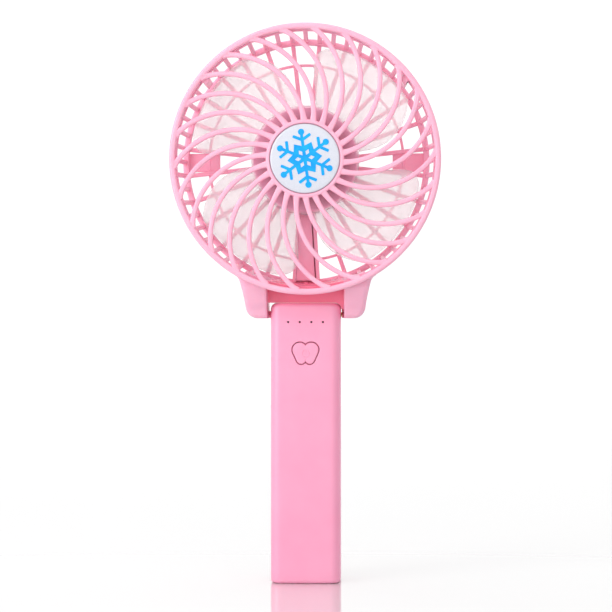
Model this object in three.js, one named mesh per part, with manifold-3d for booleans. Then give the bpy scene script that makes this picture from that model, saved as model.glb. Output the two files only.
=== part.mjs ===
// Folding handheld electric fan: a caged fan head hinged on a slim battery handle.
// Millimetres. +Z is up, -Y is the front (the air leaves this way), +X is the viewer's right.
// The origin is the centre of the handle's flat base.

import * as THREE from "three";
import { mergeVertices } from "three/addons/utils/BufferGeometryUtils.js";
import Module from "manifold-3d";

const wasm = await Module();
wasm.setup();

// ---- driving dimensions -------------------------------------------------------------------

const GAP = 0.3;                     // between pieces that touch

const HANDLE_WIDTH = 26.5;
const HANDLE_DEPTH = 23;
const HANDLE_HEIGHT = 105.9;
const HANDLE_CORNER = 4;             // radius of the four upright edges
const HANDLE_WALL = 2;
const HANDLE_TOP_RADIUS = 2.3;       // the two upper corners seen from the front
const HANDLE_BASE_RADIUS = 1.4;
const SPLIT_Y = 2;                   // where the front and rear shells meet

const HINGE_RADIUS = 4.4;            // the handle's rounded rear top edge, about the hinge axis
const HINGE_Y = HANDLE_DEPTH / 2 - HINGE_RADIUS;
const HINGE_Z = HANDLE_HEIGHT - HINGE_RADIUS;
const PIN_RADIUS = 0.9;
const BOSS_RADIUS = 1.4;              // the ears' bosses round the hinge pin and sleeve
const BOSS_REACH = 13.6;
const PIN_CLEARANCE = 0.1;

const HEAD_Z = 159.6;                // height of the fan's axis
const RIM_OUTER = 50.7;
const RIM_INNER = 48.4;
const HEAD_FRONT = -22;
const HEAD_REAR = 1.2;
const RIM_DEPTH = 4;

const RIB_COUNT = 26;
const RIB_WIDTH = 1.8;
const RIB_DEPTH = 1.6;
const RIB_ARC_RADIUS = 28.16;        // each front rib is a circular arc
const RIB_ARC_OFFSET = 30.17;        // from the fan's axis to that arc's centre
const RIB_ARC_ANGLE = -28;           // that centre's direction for the first rib, clockwise from up
const BADGE_RADIUS = 12.9;
const BADGE_RING_INNER = 13.2;
const BADGE_RING_OUTER = 14.6;

const WALL_BAR_COUNT = 56;
const WALL_BAR_WIDTH = 1.7;
const REAR_RIB_COUNT = 28;
const REAR_RIB_WIDTH = 1.6;
const REAR_RING_OUTER = 47.1;
const REAR_RING_INNER = 44.8;
const THIN_RING_RADIUS = 37.2;
const TAB_ANGLE = 360 * 8 / WALL_BAR_COUNT;   // snap tabs stand in place of the eighth bar
const TAB_WIDTH = 2.8;

const CUP_RADIUS = 19;
const CUP_FRONT = -15.8;
const CUP_WALL = 1.6;
const ARM_HALF_AT_CUP = 3.6;
const ARM_HALF_AT_RING = 5.2;
const ARM_FRONT = -2.5;
const ARM_WALL = 1.3;
const SLOT_WIDTH = 0.5;               // the open slot beside the wire channel's cover
const PAD_HALF = 3.5;                // flat pads on the rear at three and nine o'clock
const PAD_START = 33;

const EAR_INNER = 14.5;
const EAR_OUTER = 22.6;
const EAR_BOTTOM = 100.1;
const EAR_FRONT = -10.4;
const NECK_BOTTOM = HANDLE_HEIGHT + GAP;

const BLADE_COUNT = 4;
const BLADE_TIP = 44.5;
const BLADE_FRONT = -16.4;
const BLADE_REAR = -5;
const BLADE_THICKNESS = 1.1;
const BLADE_START = 4.5;             // leading edge of the first blade, clockwise from up
const SKIRT_INNER = 19.4;
const SKIRT_OUTER = 20.3;
const ROTOR_FRONT = -17.5;

const SHAFT_RADIUS = 1;
const MOTOR_RADIUS = 10;
const MOTOR_FRONT = -13.6;
const MOTOR_REAR = -4.2;
const MOTOR_CAP_RADIUS = 9.6;
const CELL_RADIUS = 9.2;
const CELL_LENGTH = 65;
const CELL_BOTTOM = 8;
const LEAD_RADIUS = 0.4;

const BUTTON_Z = 86.9;
const UPPER_LOBE = { x: 2.15, z: 1.3, radius: 2.95 };   // the button's outline, one half
const LOWER_LOBE = { x: 1.6, z: -2.2, radius: 1.98 };
const LED_Z = 98.7;
const LED_PITCH = 4.37;
const LED_HOLE = 0.33;
const BUTTON_RISE = 0.4;             // how far the button stands out of the handle's face
const FLANGE_MARGIN = 0.9;           // how far the button's hidden flange reaches past its cap
const BOARD_Y = -3;                  // the circuit board's rear face
const BOARD_THICKNESS = 1;
const BOARD_HALF_WIDTH = 9.4;
const SOCKET_Z = 88;

const POST_RADIUS = 2.3;             // screw posts inside the handle
const SCREW_HEAD_RADIUS = 1.65;
const SCREW_SHANK_RADIUS = 0.8;
const SCREW_WELL_RADIUS = 1.95;
const SCREW_WELL_DEPTH = 2.6;

// ---- small tools --------------------------------------------------------------------------

const rad = THREE.MathUtils.degToRad;

/** Makes a closed geometry into a solid with its faces pointing out. */
function solid(geometry) {
  const bare = geometry.index ? geometry.toNonIndexed() : geometry.clone();
  for (const name of Object.keys(bare.attributes)) {
    if (name !== "position") bare.deleteAttribute(name);
  }
  const merged = mergeVertices(bare, 1e-4);
  const points = merged.attributes.position.array;
  const index = merged.index.array;
  const kept = [];
  let volume = 0;
  const a = new THREE.Vector3();
  const b = new THREE.Vector3();
  const c = new THREE.Vector3();
  for (let i = 0; i < index.length; i += 3) {
    const [p, q, r] = [index[i], index[i + 1], index[i + 2]];
    if (p === q || q === r || r === p) continue;
    kept.push(p, q, r);
    a.fromArray(points, 3 * p);
    b.fromArray(points, 3 * q);
    c.fromArray(points, 3 * r);
    volume += a.dot(b.cross(c));
  }
  if (volume < 0) kept.reverse();
  return new wasm.Manifold(new wasm.Mesh({
    numProp: 3,
    vertProperties: new Float32Array(points),
    triVerts: new Uint32Array(kept),
  }));
}

/** The surface of a solid as a geometry. */
function surface(body) {
  const mesh = body.getMesh();
  const geometry = new THREE.BufferGeometry();
  geometry.setAttribute("position", new THREE.BufferAttribute(new Float32Array(mesh.vertProperties), 3));
  return geometry.setIndex(new THREE.BufferAttribute(new Uint32Array(mesh.triVerts), 1));
}

/** Joins solids into one. */
function join(...parts) {
  return parts.flat().reduce((whole, part) => whole.add(part));
}

/** Cuts every tool out of a solid. */
function cut(body, ...tools) {
  return tools.flat().reduce((rest, tool) => rest.subtract(tool), body);
}

/** A point on the fan's face: radius and angle clockwise from up, as [x, z]. */
function polar(radius, degrees) {
  return [radius * Math.sin(rad(degrees)), radius * Math.cos(rad(degrees))];
}

function outline(points) {
  return new THREE.Shape(points.map(([u, v]) => new THREE.Vector2(u, v)));
}

/** Extrudes an outline given in x and z, from y0 to y1. */
function plateXZ(points, y0, y1) {
  const options = { depth: y1 - y0, bevelEnabled: false };
  return solid(new THREE.ExtrudeGeometry(outline(points), options).rotateX(Math.PI / 2).translate(0, y1, 0));
}

/** Extrudes an outline given in y and z, from x0 to x1. */
function plateYZ(points, x0, x1) {
  const geometry = new THREE.ExtrudeGeometry(outline(points), { depth: x1 - x0, bevelEnabled: false });
  const x = new THREE.Vector3(1, 0, 0);
  const y = new THREE.Vector3(0, 1, 0);
  const z = new THREE.Vector3(0, 0, 1);
  geometry.applyMatrix4(new THREE.Matrix4().makeBasis(y, z, x));
  return solid(geometry.translate(x0, 0, 0));
}

/** Extrudes an outline given in x and y, from z0 to z1. */
function plateXY(points, z0, z1) {
  const options = { depth: z1 - z0, bevelEnabled: false };
  return solid(new THREE.ExtrudeGeometry(outline(points), options).translate(0, 0, z0));
}

function box(x0, x1, y0, y1, z0, z1) {
  const geometry = new THREE.BoxGeometry(x1 - x0, y1 - y0, z1 - z0);
  return solid(geometry.translate((x0 + x1) / 2, (y0 + y1) / 2, (z0 + z1) / 2));
}

/** A round bar along one axis; at gives the other two coordinates in x, y, z order. */
function rod(axis, radius, from, to, at, sides = 20) {
  const geometry = new THREE.CylinderGeometry(radius, radius, to - from, sides);
  const middle = (from + to) / 2;
  if (axis === "x") geometry.rotateZ(-Math.PI / 2).translate(middle, at[0], at[1]);
  if (axis === "y") geometry.translate(at[0], middle, at[1]);
  if (axis === "z") geometry.rotateX(Math.PI / 2).translate(at[0], at[1], middle);
  return solid(geometry);
}

/** A body of revolution about the fan's axis from a closed profile of [radius, y]. */
function turned(profile, sides = WALL_BAR_COUNT) {
  const loop = profile.concat([profile[0]]).map(([r, y]) => new THREE.Vector2(r, y));
  return solid(new THREE.LatheGeometry(loop, sides, Math.PI / sides));
}

function ring(inner, outer, y0, y1, sides = WALL_BAR_COUNT) {
  return turned([[inner, y0], [outer, y0], [outer, y1], [inner, y1]], sides);
}

/** A round section swept along a smooth path. */
function tube(path, radius, steps, sides = 8) {
  const section = new THREE.Shape().absarc(0, 0, radius, 0, 2 * Math.PI);
  const curve = new THREE.CatmullRomCurve3(path.map((p) => new THREE.Vector3(...p)), false, "centripetal");
  const options = { steps, extrudePath: curve, curveSegments: sides / 2, bevelEnabled: false };
  return solid(new THREE.ExtrudeGeometry(section, options));
}

/** Turns a solid about the fan's axis, clockwise seen from the front. */
function spin(part, degrees) {
  return solid(surface(part).rotateY(rad(degrees)));
}

/** The same solid on the other side of the plane x = 0. */
function mirrored(part) {
  return solid(surface(part).scale(-1, 1, 1));
}

/** Copies of a solid turned evenly about the fan's axis; keep picks the angles. */
function around(part, count, phase = 0, keep = () => true) {
  const angles = Array.from({ length: count }, (_, k) => phase + k * 360 / count);
  return angles.filter(keep).map((angle) => spin(part, angle));
}

/** Points of a rectangle with rounded corners, centred on the origin. */
function roundedRectangle(width, depth, radius, steps = 4) {
  const points = [];
  for (let corner = 0; corner < 4; corner += 1) {
    const sx = corner === 0 || corner === 3 ? 1 : -1;
    const sy = corner < 2 ? 1 : -1;
    for (let i = 0; i <= steps; i += 1) {
      const angle = Math.PI / 2 * (corner + i / steps);
      const x = sx * (width / 2 - radius) + radius * Math.cos(angle);
      const y = sy * (depth / 2 - radius) + radius * Math.sin(angle);
      points.push([x, y]);
    }
  }
  return points;
}

/** Points along a circular arc, angles in degrees from the first axis towards the second. */
function arc(centre, radius, from, to, steps) {
  return Array.from({ length: steps + 1 }, (_, i) => {
    const angle = rad(from + (to - from) * i / steps);
    return [centre[0] + radius * Math.cos(angle), centre[1] + radius * Math.sin(angle)];
  });
}

const fan = new THREE.Group();
const head = new THREE.Group();      // the fan's axis runs through this group's origin
head.position.set(0, 0, HEAD_Z);
fan.add(head);

const paint = {
  pink: [0xfbaecb, 0.35, 0],
  deepPink: [0xf98fb0, 0.4, 0],
  frosted: [0xfdf2f0, 0.3, 0],
  pearl: [0xe4e6f0, 0.3, 0],
  blue: [0x14aefa, 0.35, 0],
  steel: [0xb9bcc2, 0.3, 1],
  brass: [0xc9a14a, 0.35, 1],
  black: [0x1b1b1e, 0.5, 0],
  green: [0x1f6b46, 0.5, 0],
  wrap: [0x3f6fb4, 0.45, 0],
  nylon: [0xe9e6df, 0.5, 0],
  clear: [0xf4f7ff, 0.1, 0],
};

/** Adds a solid to a group as a named mesh. */
function add(group, name, body, colour) {
  const [color, roughness, metalness] = paint[colour];
  const material = new THREE.MeshStandardMaterial({ color, roughness, metalness });
  const piece = new THREE.Mesh(surface(body), material);
  piece.name = name;
  group.add(piece);
}

// ---- front grille -------------------------------------------------------------------------

/** One front rib: a flat arc from the badge ring out to the rim. */
function spiralRib() {
  const [cx, cz] = polar(RIB_ARC_OFFSET, RIB_ARC_ANGLE);
  const towardAxis = THREE.MathUtils.radToDeg(Math.atan2(-cz, -cx));
  const angleAt = (radius) => {
    const cosine = (RIB_ARC_OFFSET ** 2 + RIB_ARC_RADIUS ** 2 - radius ** 2)
      / (2 * RIB_ARC_OFFSET * RIB_ARC_RADIUS);
    return towardAxis + THREE.MathUtils.radToDeg(Math.acos(cosine));
  };
  const from = angleAt((BADGE_RING_INNER + BADGE_RING_OUTER) / 2);
  const to = angleAt((RIM_INNER + RIM_OUTER) / 2);
  const steps = 6;
  const outside = arc([cx, cz], RIB_ARC_RADIUS + RIB_WIDTH / 2, from, to, steps);
  const inside = arc([cx, cz], RIB_ARC_RADIUS - RIB_WIDTH / 2, to, from, steps);
  return plateXZ(outside.concat(inside), HEAD_FRONT + 0.2, HEAD_FRONT + 0.2 + RIB_DEPTH);
}

function frontGrille() {
  const rimRear = HEAD_FRONT + RIM_DEPTH;
  const rim = turned([
    [RIM_INNER, HEAD_FRONT + 0.8], [RIM_INNER + 0.7, HEAD_FRONT], [RIM_OUTER - 0.9, HEAD_FRONT],
    [RIM_OUTER, HEAD_FRONT + 1], [RIM_OUTER, rimRear], [RIM_INNER, rimRear],
  ], 3 * RIB_COUNT);
  const badgeSeat = turned([
    [0, HEAD_FRONT + 1.3], [BADGE_RING_INNER, HEAD_FRONT + 1.3], [BADGE_RING_INNER, HEAD_FRONT],
    [BADGE_RING_OUTER, HEAD_FRONT], [BADGE_RING_OUTER, HEAD_FRONT + 2.6], [0, HEAD_FRONT + 2.6],
  ], RIB_COUNT);
  const half = TAB_WIDTH / 2;
  const tabInner = REAR_RING_INNER + 1.4;
  const tabOuter = RIM_INNER - 0.7;
  const arrow = [[tabInner, -3.3], [tabInner + 0.6, -3.3], [tabOuter, -5.5], [tabOuter, rimRear - 0.3]];
  const root = [[RIM_INNER + 0.8, rimRear - 0.3], [RIM_INNER + 0.8, rimRear - 2], [tabInner, rimRear - 2]];
  const profile = arrow.concat(root).map(([z, y]) => [y, z]);
  const tab = plateYZ(profile, -half, half);
  const tabs = [-TAB_ANGLE, TAB_ANGLE].map((angle) => spin(tab, angle));
  return join(rim, badgeSeat, around(spiralRib(), RIB_COUNT), tabs);
}

add(head, "front_grille", frontGrille(), "pink");

const badge = turned([
  [0, HEAD_FRONT], [BADGE_RADIUS - 1.2, HEAD_FRONT + 0.1], [BADGE_RADIUS, HEAD_FRONT + 0.4],
  [BADGE_RADIUS, HEAD_FRONT + 1], [0, HEAD_FRONT + 1],
], RIB_COUNT);
add(head, "badge_disc", badge, "pearl");

/** A plain six-armed snowflake: a star with a forked, ball-tipped arm on each point. */
function snowflake() {
  const front = HEAD_FRONT - 0.6;
  const back = HEAD_FRONT - 0.3;
  const half = 0.56;
  const forkRoot = 6.9;
  const star = [];
  for (let k = 0; k < 12; k += 1) star.push(polar(k % 2 ? 6.56 : 4.5, 30 * k));
  const arm = plateXZ([[-half, 0], [half, 0], [half, 10], [-half, 10]], front, back);
  const ball = rod("y", 1.1, front, back, [0, 9.9], 12);
  const fork = [-1, 1].map((side) => {
    const [tipX, tipZ] = polar(9, 19 * side);
    const reach = Math.hypot(tipX, tipZ - forkRoot);
    const strip = new THREE.BoxGeometry(2 * half, back - front, reach + half);
    strip.translate(0, 0, (reach + half) / 2).rotateY(Math.atan2(tipX, tipZ - forkRoot));
    strip.translate(0, (front + back) / 2, forkRoot);
    return solid(strip);
  });
  const windowPoints = [[0, 1.35], [0.75, 2.5], [0, 3.7], [-0.75, 2.5]];
  const pane = plateXZ(windowPoints, front - 1, back + 1);
  const body = join(plateXZ(star, front, back), around(join(arm, ball, fork), 6));
  return spin(cut(body, around(pane, 6, 30)), -8);
}

add(head, "badge_snowflake", snowflake(), "blue");

// ---- rotor --------------------------------------------------------------------------------

/** How far the leading edge stands behind BLADE_START, in degrees, at a radius. */
function leadingLag(radius) {
  const bulge = 36.6;
  if (radius < bulge) return 6.3 * ((bulge - radius) / (bulge - SKIRT_OUTER)) ** 1.5;
  const corner = (radius - bulge) / (BLADE_TIP - bulge);
  return 12 * (1 - Math.sqrt(Math.max(0, 1 - corner ** 2.6)));
}

/** The trailing edge at a radius, in degrees clockwise from BLADE_START. */
function trailingLead(radius) {
  return 77.5 - 22 * Math.max(0, (radius - SKIRT_OUTER) / (BLADE_TIP - SKIRT_OUTER)) ** 2.2;
}

/** One blade: a twisted plate from inside the hub's skirt to the tip. */
function blade() {
  const across = 6;
  const along = 6;
  const root = (SKIRT_INNER + SKIRT_OUTER) / 2;
  const positions = [];
  for (let side = 0; side < 2; side += 1) {
    for (let j = 0; j <= along; j += 1) {
      const radius = root + (BLADE_TIP - root) * j / along;
      for (let i = 0; i <= across; i += 1) {
        const t = i / across;
        const lag = leadingLag(radius);
        const angle = BLADE_START + lag + (trailingLead(radius) - lag) * t;
        const y = BLADE_REAR + (BLADE_FRONT - BLADE_REAR) * t;
        const [x, z] = polar(radius, angle);
        positions.push(x, y + side * BLADE_THICKNESS, z);
      }
    }
  }
  const at = (side, j, i) => (side * (along + 1) + j) * (across + 1) + i;
  const index = [];
  const quad = (a, b, c, d) => index.push(a, b, c, a, c, d);
  for (let j = 0; j < along; j += 1) {
    for (let i = 0; i < across; i += 1) {
      quad(at(0, j, i), at(0, j, i + 1), at(0, j + 1, i + 1), at(0, j + 1, i));
      quad(at(1, j, i), at(1, j + 1, i), at(1, j + 1, i + 1), at(1, j, i + 1));
    }
    quad(at(0, j, 0), at(0, j + 1, 0), at(1, j + 1, 0), at(1, j, 0));
    quad(at(0, j, across), at(1, j, across), at(1, j + 1, across), at(0, j + 1, across));
  }
  for (let i = 0; i < across; i += 1) {
    quad(at(0, 0, i), at(1, 0, i), at(1, 0, i + 1), at(0, 0, i + 1));
    quad(at(0, along, i), at(0, along, i + 1), at(1, along, i + 1), at(1, along, i));
  }
  const geometry = new THREE.BufferGeometry();
  geometry.setAttribute("position", new THREE.Float32BufferAttribute(positions, 3));
  geometry.setIndex(index);
  return solid(geometry);
}

function rotor() {
  const disc = ROTOR_FRONT + 1.2;
  const hub = turned([
    [0, ROTOR_FRONT], [SKIRT_OUTER - 1, ROTOR_FRONT], [SKIRT_OUTER, ROTOR_FRONT + 1],
    [SKIRT_OUTER, BLADE_REAR + BLADE_THICKNESS], [SKIRT_INNER, BLADE_REAR + BLADE_THICKNESS],
    [SKIRT_INNER, disc], [0, disc],
  ], 36);
  const boss = rod("y", 2.6, disc - 0.2, disc + 1.4, [0, 0]);
  const bore = rod("y", SHAFT_RADIUS + 0.05, ROTOR_FRONT + 0.5, disc + 2, [0, 0]);
  return cut(join(hub, boss, around(blade(), BLADE_COUNT)), bore);
}

add(head, "rotor", rotor(), "frosted");
add(head, "motor_shaft", rod("y", SHAFT_RADIUS, ROTOR_FRONT + 0.7, -4.6, [0, 0]), "steel");

// ---- motor --------------------------------------------------------------------------------

const RETAINER_FRONT = CUP_FRONT + 0.2;
const RETAINER_REAR = RETAINER_FRONT + 1.4;
const RETAINER_SCREW_CIRCLE = 13.6;

function motorCan() {
  const can = turned([
    [0, MOTOR_FRONT], [MOTOR_RADIUS - 0.8, MOTOR_FRONT], [MOTOR_RADIUS, MOTOR_FRONT + 0.8],
    [MOTOR_RADIUS, MOTOR_REAR], [0, MOTOR_REAR],
  ], 32);
  const nose = rod("y", 3, MOTOR_FRONT - 1, MOTOR_FRONT + 0.2, [0, 0]);
  const bore = rod("y", SHAFT_RADIUS + PIN_CLEARANCE, MOTOR_FRONT - 1.4, MOTOR_REAR + 0.2, [0, 0]);
  return cut(join(can, nose), bore);
}

add(head, "motor_can", motorCan(), "steel");

const motorEndCap = turned([
  [0, MOTOR_REAR + GAP], [MOTOR_CAP_RADIUS, MOTOR_REAR + GAP], [MOTOR_CAP_RADIUS, -2.4],
  [MOTOR_CAP_RADIUS - 0.8, -1.6], [0, -1.6],
], 32);
add(head, "motor_end_cap", motorEndCap, "nylon");

const screwAngles = [60, 180, 300];
const retainerHoles = screwAngles.map((angle) => {
  const at = polar(RETAINER_SCREW_CIRCLE, angle);
  const seat = rod("y", 2, RETAINER_FRONT - 0.5, RETAINER_FRONT + 0.9, at, 12);
  return join(seat, rod("y", 1, RETAINER_FRONT, RETAINER_REAR + 0.5, at, 8));
});
const retainer = ring(3.6, CUP_RADIUS - CUP_WALL - GAP - 0.2, RETAINER_FRONT, RETAINER_REAR, 28);
add(head, "motor_retainer", cut(retainer, retainerHoles), "pink");

screwAngles.forEach((angle, k) => {
  const at = polar(RETAINER_SCREW_CIRCLE, angle);
  const top = rod("y", 1.6, RETAINER_FRONT + 0.1, RETAINER_FRONT + 0.6, at, 12);
  const shank = rod("y", 0.7, RETAINER_FRONT + 0.5, -7, at, 8);
  add(head, `retainer_screw_${k + 1}`, join(top, shank), "steel");
});

// ---- rear cover ---------------------------------------------------------------------------

/** Half the wire arm's width at a radius: it is narrower at the cup. */
function armHalf(radius) {
  const slope = (ARM_HALF_AT_RING - ARM_HALF_AT_CUP) / (REAR_RING_INNER - CUP_RADIUS);
  return ARM_HALF_AT_CUP + slope * (radius - CUP_RADIUS);
}

/** The wire arm's outline below the cup, with each side moved in by its own inset. */
function armOutline(top, bottom, leftInset = 0, rightInset = leftInset) {
  return [
    [leftInset - armHalf(top), -top], [armHalf(top) - rightInset, -top],
    [armHalf(bottom) - rightInset, -bottom], [leftInset - armHalf(bottom), -bottom],
  ];
}

const LEAD_Y = -0.75;                // where the lead runs down the arm's channel

/** The lead's way from the motor, down the arm and into the right ear, ending on the hinge axis. */
const leadPath = [
  [1.2, LEAD_Y, -16.4], [1.7, LEAD_Y, -24], [2.6, LEAD_Y, -38], [3.2, LEAD_Y, -45.8], [5, LEAD_Y, -49.3],
  [10, LEAD_Y + 0.3, -51.4], [15.6, 0.6, -52.4], [18.4, 2.6, -54], [19.2, 5, -56.6],
  [18.2, HINGE_Y, HINGE_Z - HEAD_Z], [16.6, HINGE_Y, HINGE_Z - HEAD_Z], [13.4, HINGE_Y, HINGE_Z - HEAD_Z],
];

/** One ear, in the plane of x and z from the front, and in y and z from the side. */
function ear() {
  const bottom = EAR_BOTTOM - HEAD_Z;
  const flare = 112.4 - HEAD_Z;
  const round = 3.4;
  const front = [
    [EAR_INNER, bottom], ...arc([EAR_OUTER - round, bottom + round], round, -90, 0, 4),
    [EAR_OUTER + 0.5, 107.4 - HEAD_Z], [EAR_OUTER + 1.1, 110.6 - HEAD_Z], [EAR_OUTER + 1.6, flare],
    [EAR_OUTER + 2.5, flare + 1.2], [EAR_OUTER + 3.8, flare + 2.2], [EAR_INNER, flare + 6],
  ];
  const axisZ = HINGE_Z - HEAD_Z;
  const side = [
    [EAR_FRONT, bottom], [HINGE_Y + 2.8, bottom], [HINGE_Y + 4.2, axisZ + 0.2], [HINGE_Y + 4.2, axisZ + 3.6],
    [HEAD_REAR, flare + 6], [-17.7, flare + 6], [-17.7, flare + 1.5], [-14.6, 105.2 - HEAD_Z],
    [EAR_FRONT - 1, bottom + 1],
  ];
  return plateXZ(front, -20, 14).intersect(plateYZ(side, EAR_INNER - 1, EAR_OUTER + 5));
}

function wallBar() {
  const half = WALL_BAR_WIDTH / 2;
  return plateYZ([
    [HEAD_FRONT + RIM_DEPTH + 1, 49.9], [HEAD_FRONT + RIM_DEPTH + 1, 48.3], [-0.5, 45.3],
    [-0.5, REAR_RING_OUTER - 0.3],
  ], -half, half);
}

function rearCover() {
  const flangeFront = HEAD_FRONT + RIM_DEPTH + GAP;
  const flange = ring(RIM_INNER - 0.4, RIM_OUTER - 0.3, flangeFront, flangeFront + 2);
  const rearRing = ring(REAR_RING_INNER, REAR_RING_OUTER, -1.8, HEAD_REAR);
  const thinRing = ring(THIN_RING_RADIUS - 0.5, THIN_RING_RADIUS + 0.5, 0, HEAD_REAR - 0.1);
  const noTab = (angle) => Math.abs(Math.abs(angle > 180 ? angle - 360 : angle) - TAB_ANGLE) > 1;
  const bars = around(wallBar(), WALL_BAR_COUNT, 0, noTab);
  const ribHalf = REAR_RIB_WIDTH / 2;
  const rib = box(-ribHalf, ribHalf, -0.6, HEAD_REAR, CUP_RADIUS - 1, REAR_RING_INNER + 1);
  const pitch = 360 / REAR_RIB_COUNT;
  const besideArm = (angle) => Math.abs(angle - 180) > pitch;
  const ribs = around(rib, REAR_RIB_COUNT, pitch / 2, besideArm);
  const pad = box(-PAD_HALF, PAD_HALF, 0.2, HEAD_REAR, PAD_START, REAR_RING_INNER + 1);
  const pads = [90, 270].map((angle) => spin(pad, angle));

  const cup = turned([
    [0, -0.4], [CUP_RADIUS - CUP_WALL, -0.4], [CUP_RADIUS - CUP_WALL, CUP_FRONT], [CUP_RADIUS, CUP_FRONT],
    [CUP_RADIUS, HEAD_REAR - 1], [CUP_RADIUS - 1, HEAD_REAR], [0, HEAD_REAR],
  ]);
  const posts = screwAngles.map((angle) => {
    const at = polar(RETAINER_SCREW_CIRCLE, angle);
    const pilot = rod("y", 0.9, RETAINER_REAR - 1, -6.5, at, 8);
    return cut(rod("y", 2.1, RETAINER_REAR + GAP, 0, at, 10), pilot);
  });

  const armTop = CUP_RADIUS - 1;
  const armBottom = REAR_RING_INNER + 1;
  const arm = plateXZ(armOutline(armTop, armBottom), ARM_FRONT, HEAD_REAR);
  const channel = plateXZ(armOutline(armTop - 2, REAR_RING_INNER + 0.8, ARM_WALL), -5, -0.1);

  const neckBottom = NECK_BOTTOM - HEAD_Z;
  const cornerX = HANDLE_WIDTH / 2 - HANDLE_TOP_RADIUS;
  const cornerZ = HANDLE_HEIGHT - HANDLE_TOP_RADIUS - HEAD_Z;
  const neckOutline = [
    [-EAR_INNER - 1, neckBottom],
    ...arc([cornerX, cornerZ], HANDLE_TOP_RADIUS + GAP, 90, 0, 4),
    [EAR_INNER + 1, cornerZ],
    ...arc([0, 0], REAR_RING_INNER + 0.9, -71, -109, 10),
  ];
  const neck = plateXZ(neckOutline, -9, HEAD_REAR);
  const nearRotor = turned([[0, -18], [47.5, -18], [46, -1.8], [0, -1.8]]);
  const apron = plateXZ(arc([0, 0], RIM_OUTER - 0.5, -62, -118, 14)
    .concat(arc([0, 0], 47, -118, -62, 14)), flangeFront, -1);
  const ears = [ear(), mirrored(ear())];
  const neckParts = cut(join(neck, apron, ears), nearRotor);

  const axisZ = HINGE_Z - HEAD_Z;
  const sockets = [-1, 1].map((side) => {
    const [from, to] = side < 0 ? [-20.4, -BOSS_REACH + 1] : [BOSS_REACH - 1, 17.9];
    return rod("x", PIN_RADIUS + PIN_CLEARANCE, from, to, [HINGE_Y, axisZ]);
  });
  const bosses = [[-EAR_INNER - 0.5, -BOSS_REACH], [BOSS_REACH, EAR_INNER + 0.5]]
    .map(([from, to]) => rod("x", BOSS_RADIUS, from, to, [HINGE_Y, axisZ], 16));
  const leadShroud = box(BOSS_REACH, EAR_INNER + 0.5, -4, HINGE_Y + 3.4, 102.6 - HEAD_Z, neckBottom + 1);
  const whole = join(
    flange, rearRing, thinRing, bars, ribs, pads, cup, posts, arm, neckParts, bosses, leadShroud,
  );
  return cut(whole, channel, tube(leadPath, LEAD_RADIUS + GAP, 30, 6), sockets);
}

add(head, "rear_cover", rearCover(), "deepPink");

/** The strip that closes the wire channel, leaving a narrow slot along its right side. */
function channelCover() {
  const top = CUP_RADIUS + 0.6;
  const bottom = REAR_RING_INNER + 0.4;
  const points = armOutline(top, bottom, ARM_WALL + GAP, ARM_WALL + SLOT_WIDTH);
  return plateXZ(points, ARM_FRONT, LEAD_Y - LEAD_RADIUS - GAP);
}

add(head, "channel_cover", channelCover(), "deepPink");
add(head, "head_lead", tube(leadPath, LEAD_RADIUS, 30), "black");

// ---- hinge --------------------------------------------------------------------------------

const hingeAt = [HINGE_Y, HINGE_Z];
const hingePin = rod("x", PIN_RADIUS, -20.1, -9.2, hingeAt);
add(fan, "hinge_pin_left", hingePin, "steel");

const sleeve = rod("x", PIN_RADIUS, 9.2, 17.6, hingeAt);
const sleeveBore = rod("x", LEAD_RADIUS + 0.27, 9, 18, hingeAt, 12);
add(fan, "hinge_sleeve_right", cut(sleeve, sleeveBore), "brass");

// ---- handle shells ------------------------------------------------------------------------

/** The handle's outside, as one block: rounded upright edges, top corners and rear top edge. */
function handleBlock(inset) {
  const width = HANDLE_WIDTH - 2 * inset;
  const depth = HANDLE_DEPTH - 2 * inset;
  const corner = HANDLE_CORNER - inset;
  const low = inset;
  const high = HANDLE_HEIGHT - inset;
  const column = plateXY(roundedRectangle(width, depth, corner), low, high);
  const top = HANDLE_TOP_RADIUS - Math.min(inset, 1.5);
  const base = HANDLE_BASE_RADIUS - Math.min(inset, 0.8);
  const half = width / 2;
  const face = [
    ...arc([half - base, low + base], base, -90, 0, 3), ...arc([half - top, high - top], top, 0, 90, 4),
    ...arc([top - half, high - top], top, 90, 180, 4), ...arc([base - half, low + base], base, 180, 270, 3),
  ];
  const hinge = HINGE_RADIUS - inset;
  const front = 1.6;
  const profile = [
    ...arc([HINGE_Y, HINGE_Z], hinge, 0, 90, 6), ...arc([front - depth / 2, high - front], front, 90, 180, 4),
    [-depth / 2, low], [depth / 2, low],
  ];
  return column.intersect(plateXZ(face, -20, 20)).intersect(plateYZ(profile, -20, 20));
}

/** The outline of the button: an upper and a lower lobe on each side, grown by margin. */
function fruitOutline(margin) {
  const [upper, lower] = [UPPER_LOBE, LOWER_LOBE];
  const degrees = THREE.MathUtils.radToDeg;
  const [dx, dz] = [lower.x - upper.x, lower.z - upper.z];
  const taper = (upper.radius - lower.radius) / Math.hypot(dx, dz);
  const flank = degrees(Math.atan2(dz, dx) + Math.acos(taper));   // where one line touches both lobes
  const top = degrees(Math.acos(-upper.x / (upper.radius + margin)));
  const foot = -degrees(Math.acos(-lower.x / (lower.radius + margin)));
  const right = [
    ...arc([upper.x, upper.z], upper.radius + margin, top, flank, 8),
    ...arc([lower.x, lower.z], lower.radius + margin, flank, foot, 6),
  ];
  const left = right.slice(1, -1).reverse().map(([x, z]) => [-x, z]);
  return right.concat(left).map(([x, z]) => [x, BUTTON_Z + z]);
}

const SCREW_PLACES = [[-8, 77.8], [8, 77.8], [-8, 5.1], [8, 5.1]];
const FRONT_INNER = -HANDLE_DEPTH / 2 + HANDLE_WALL;
const REAR_INNER = HANDLE_DEPTH / 2 - HANDLE_WALL;

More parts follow.
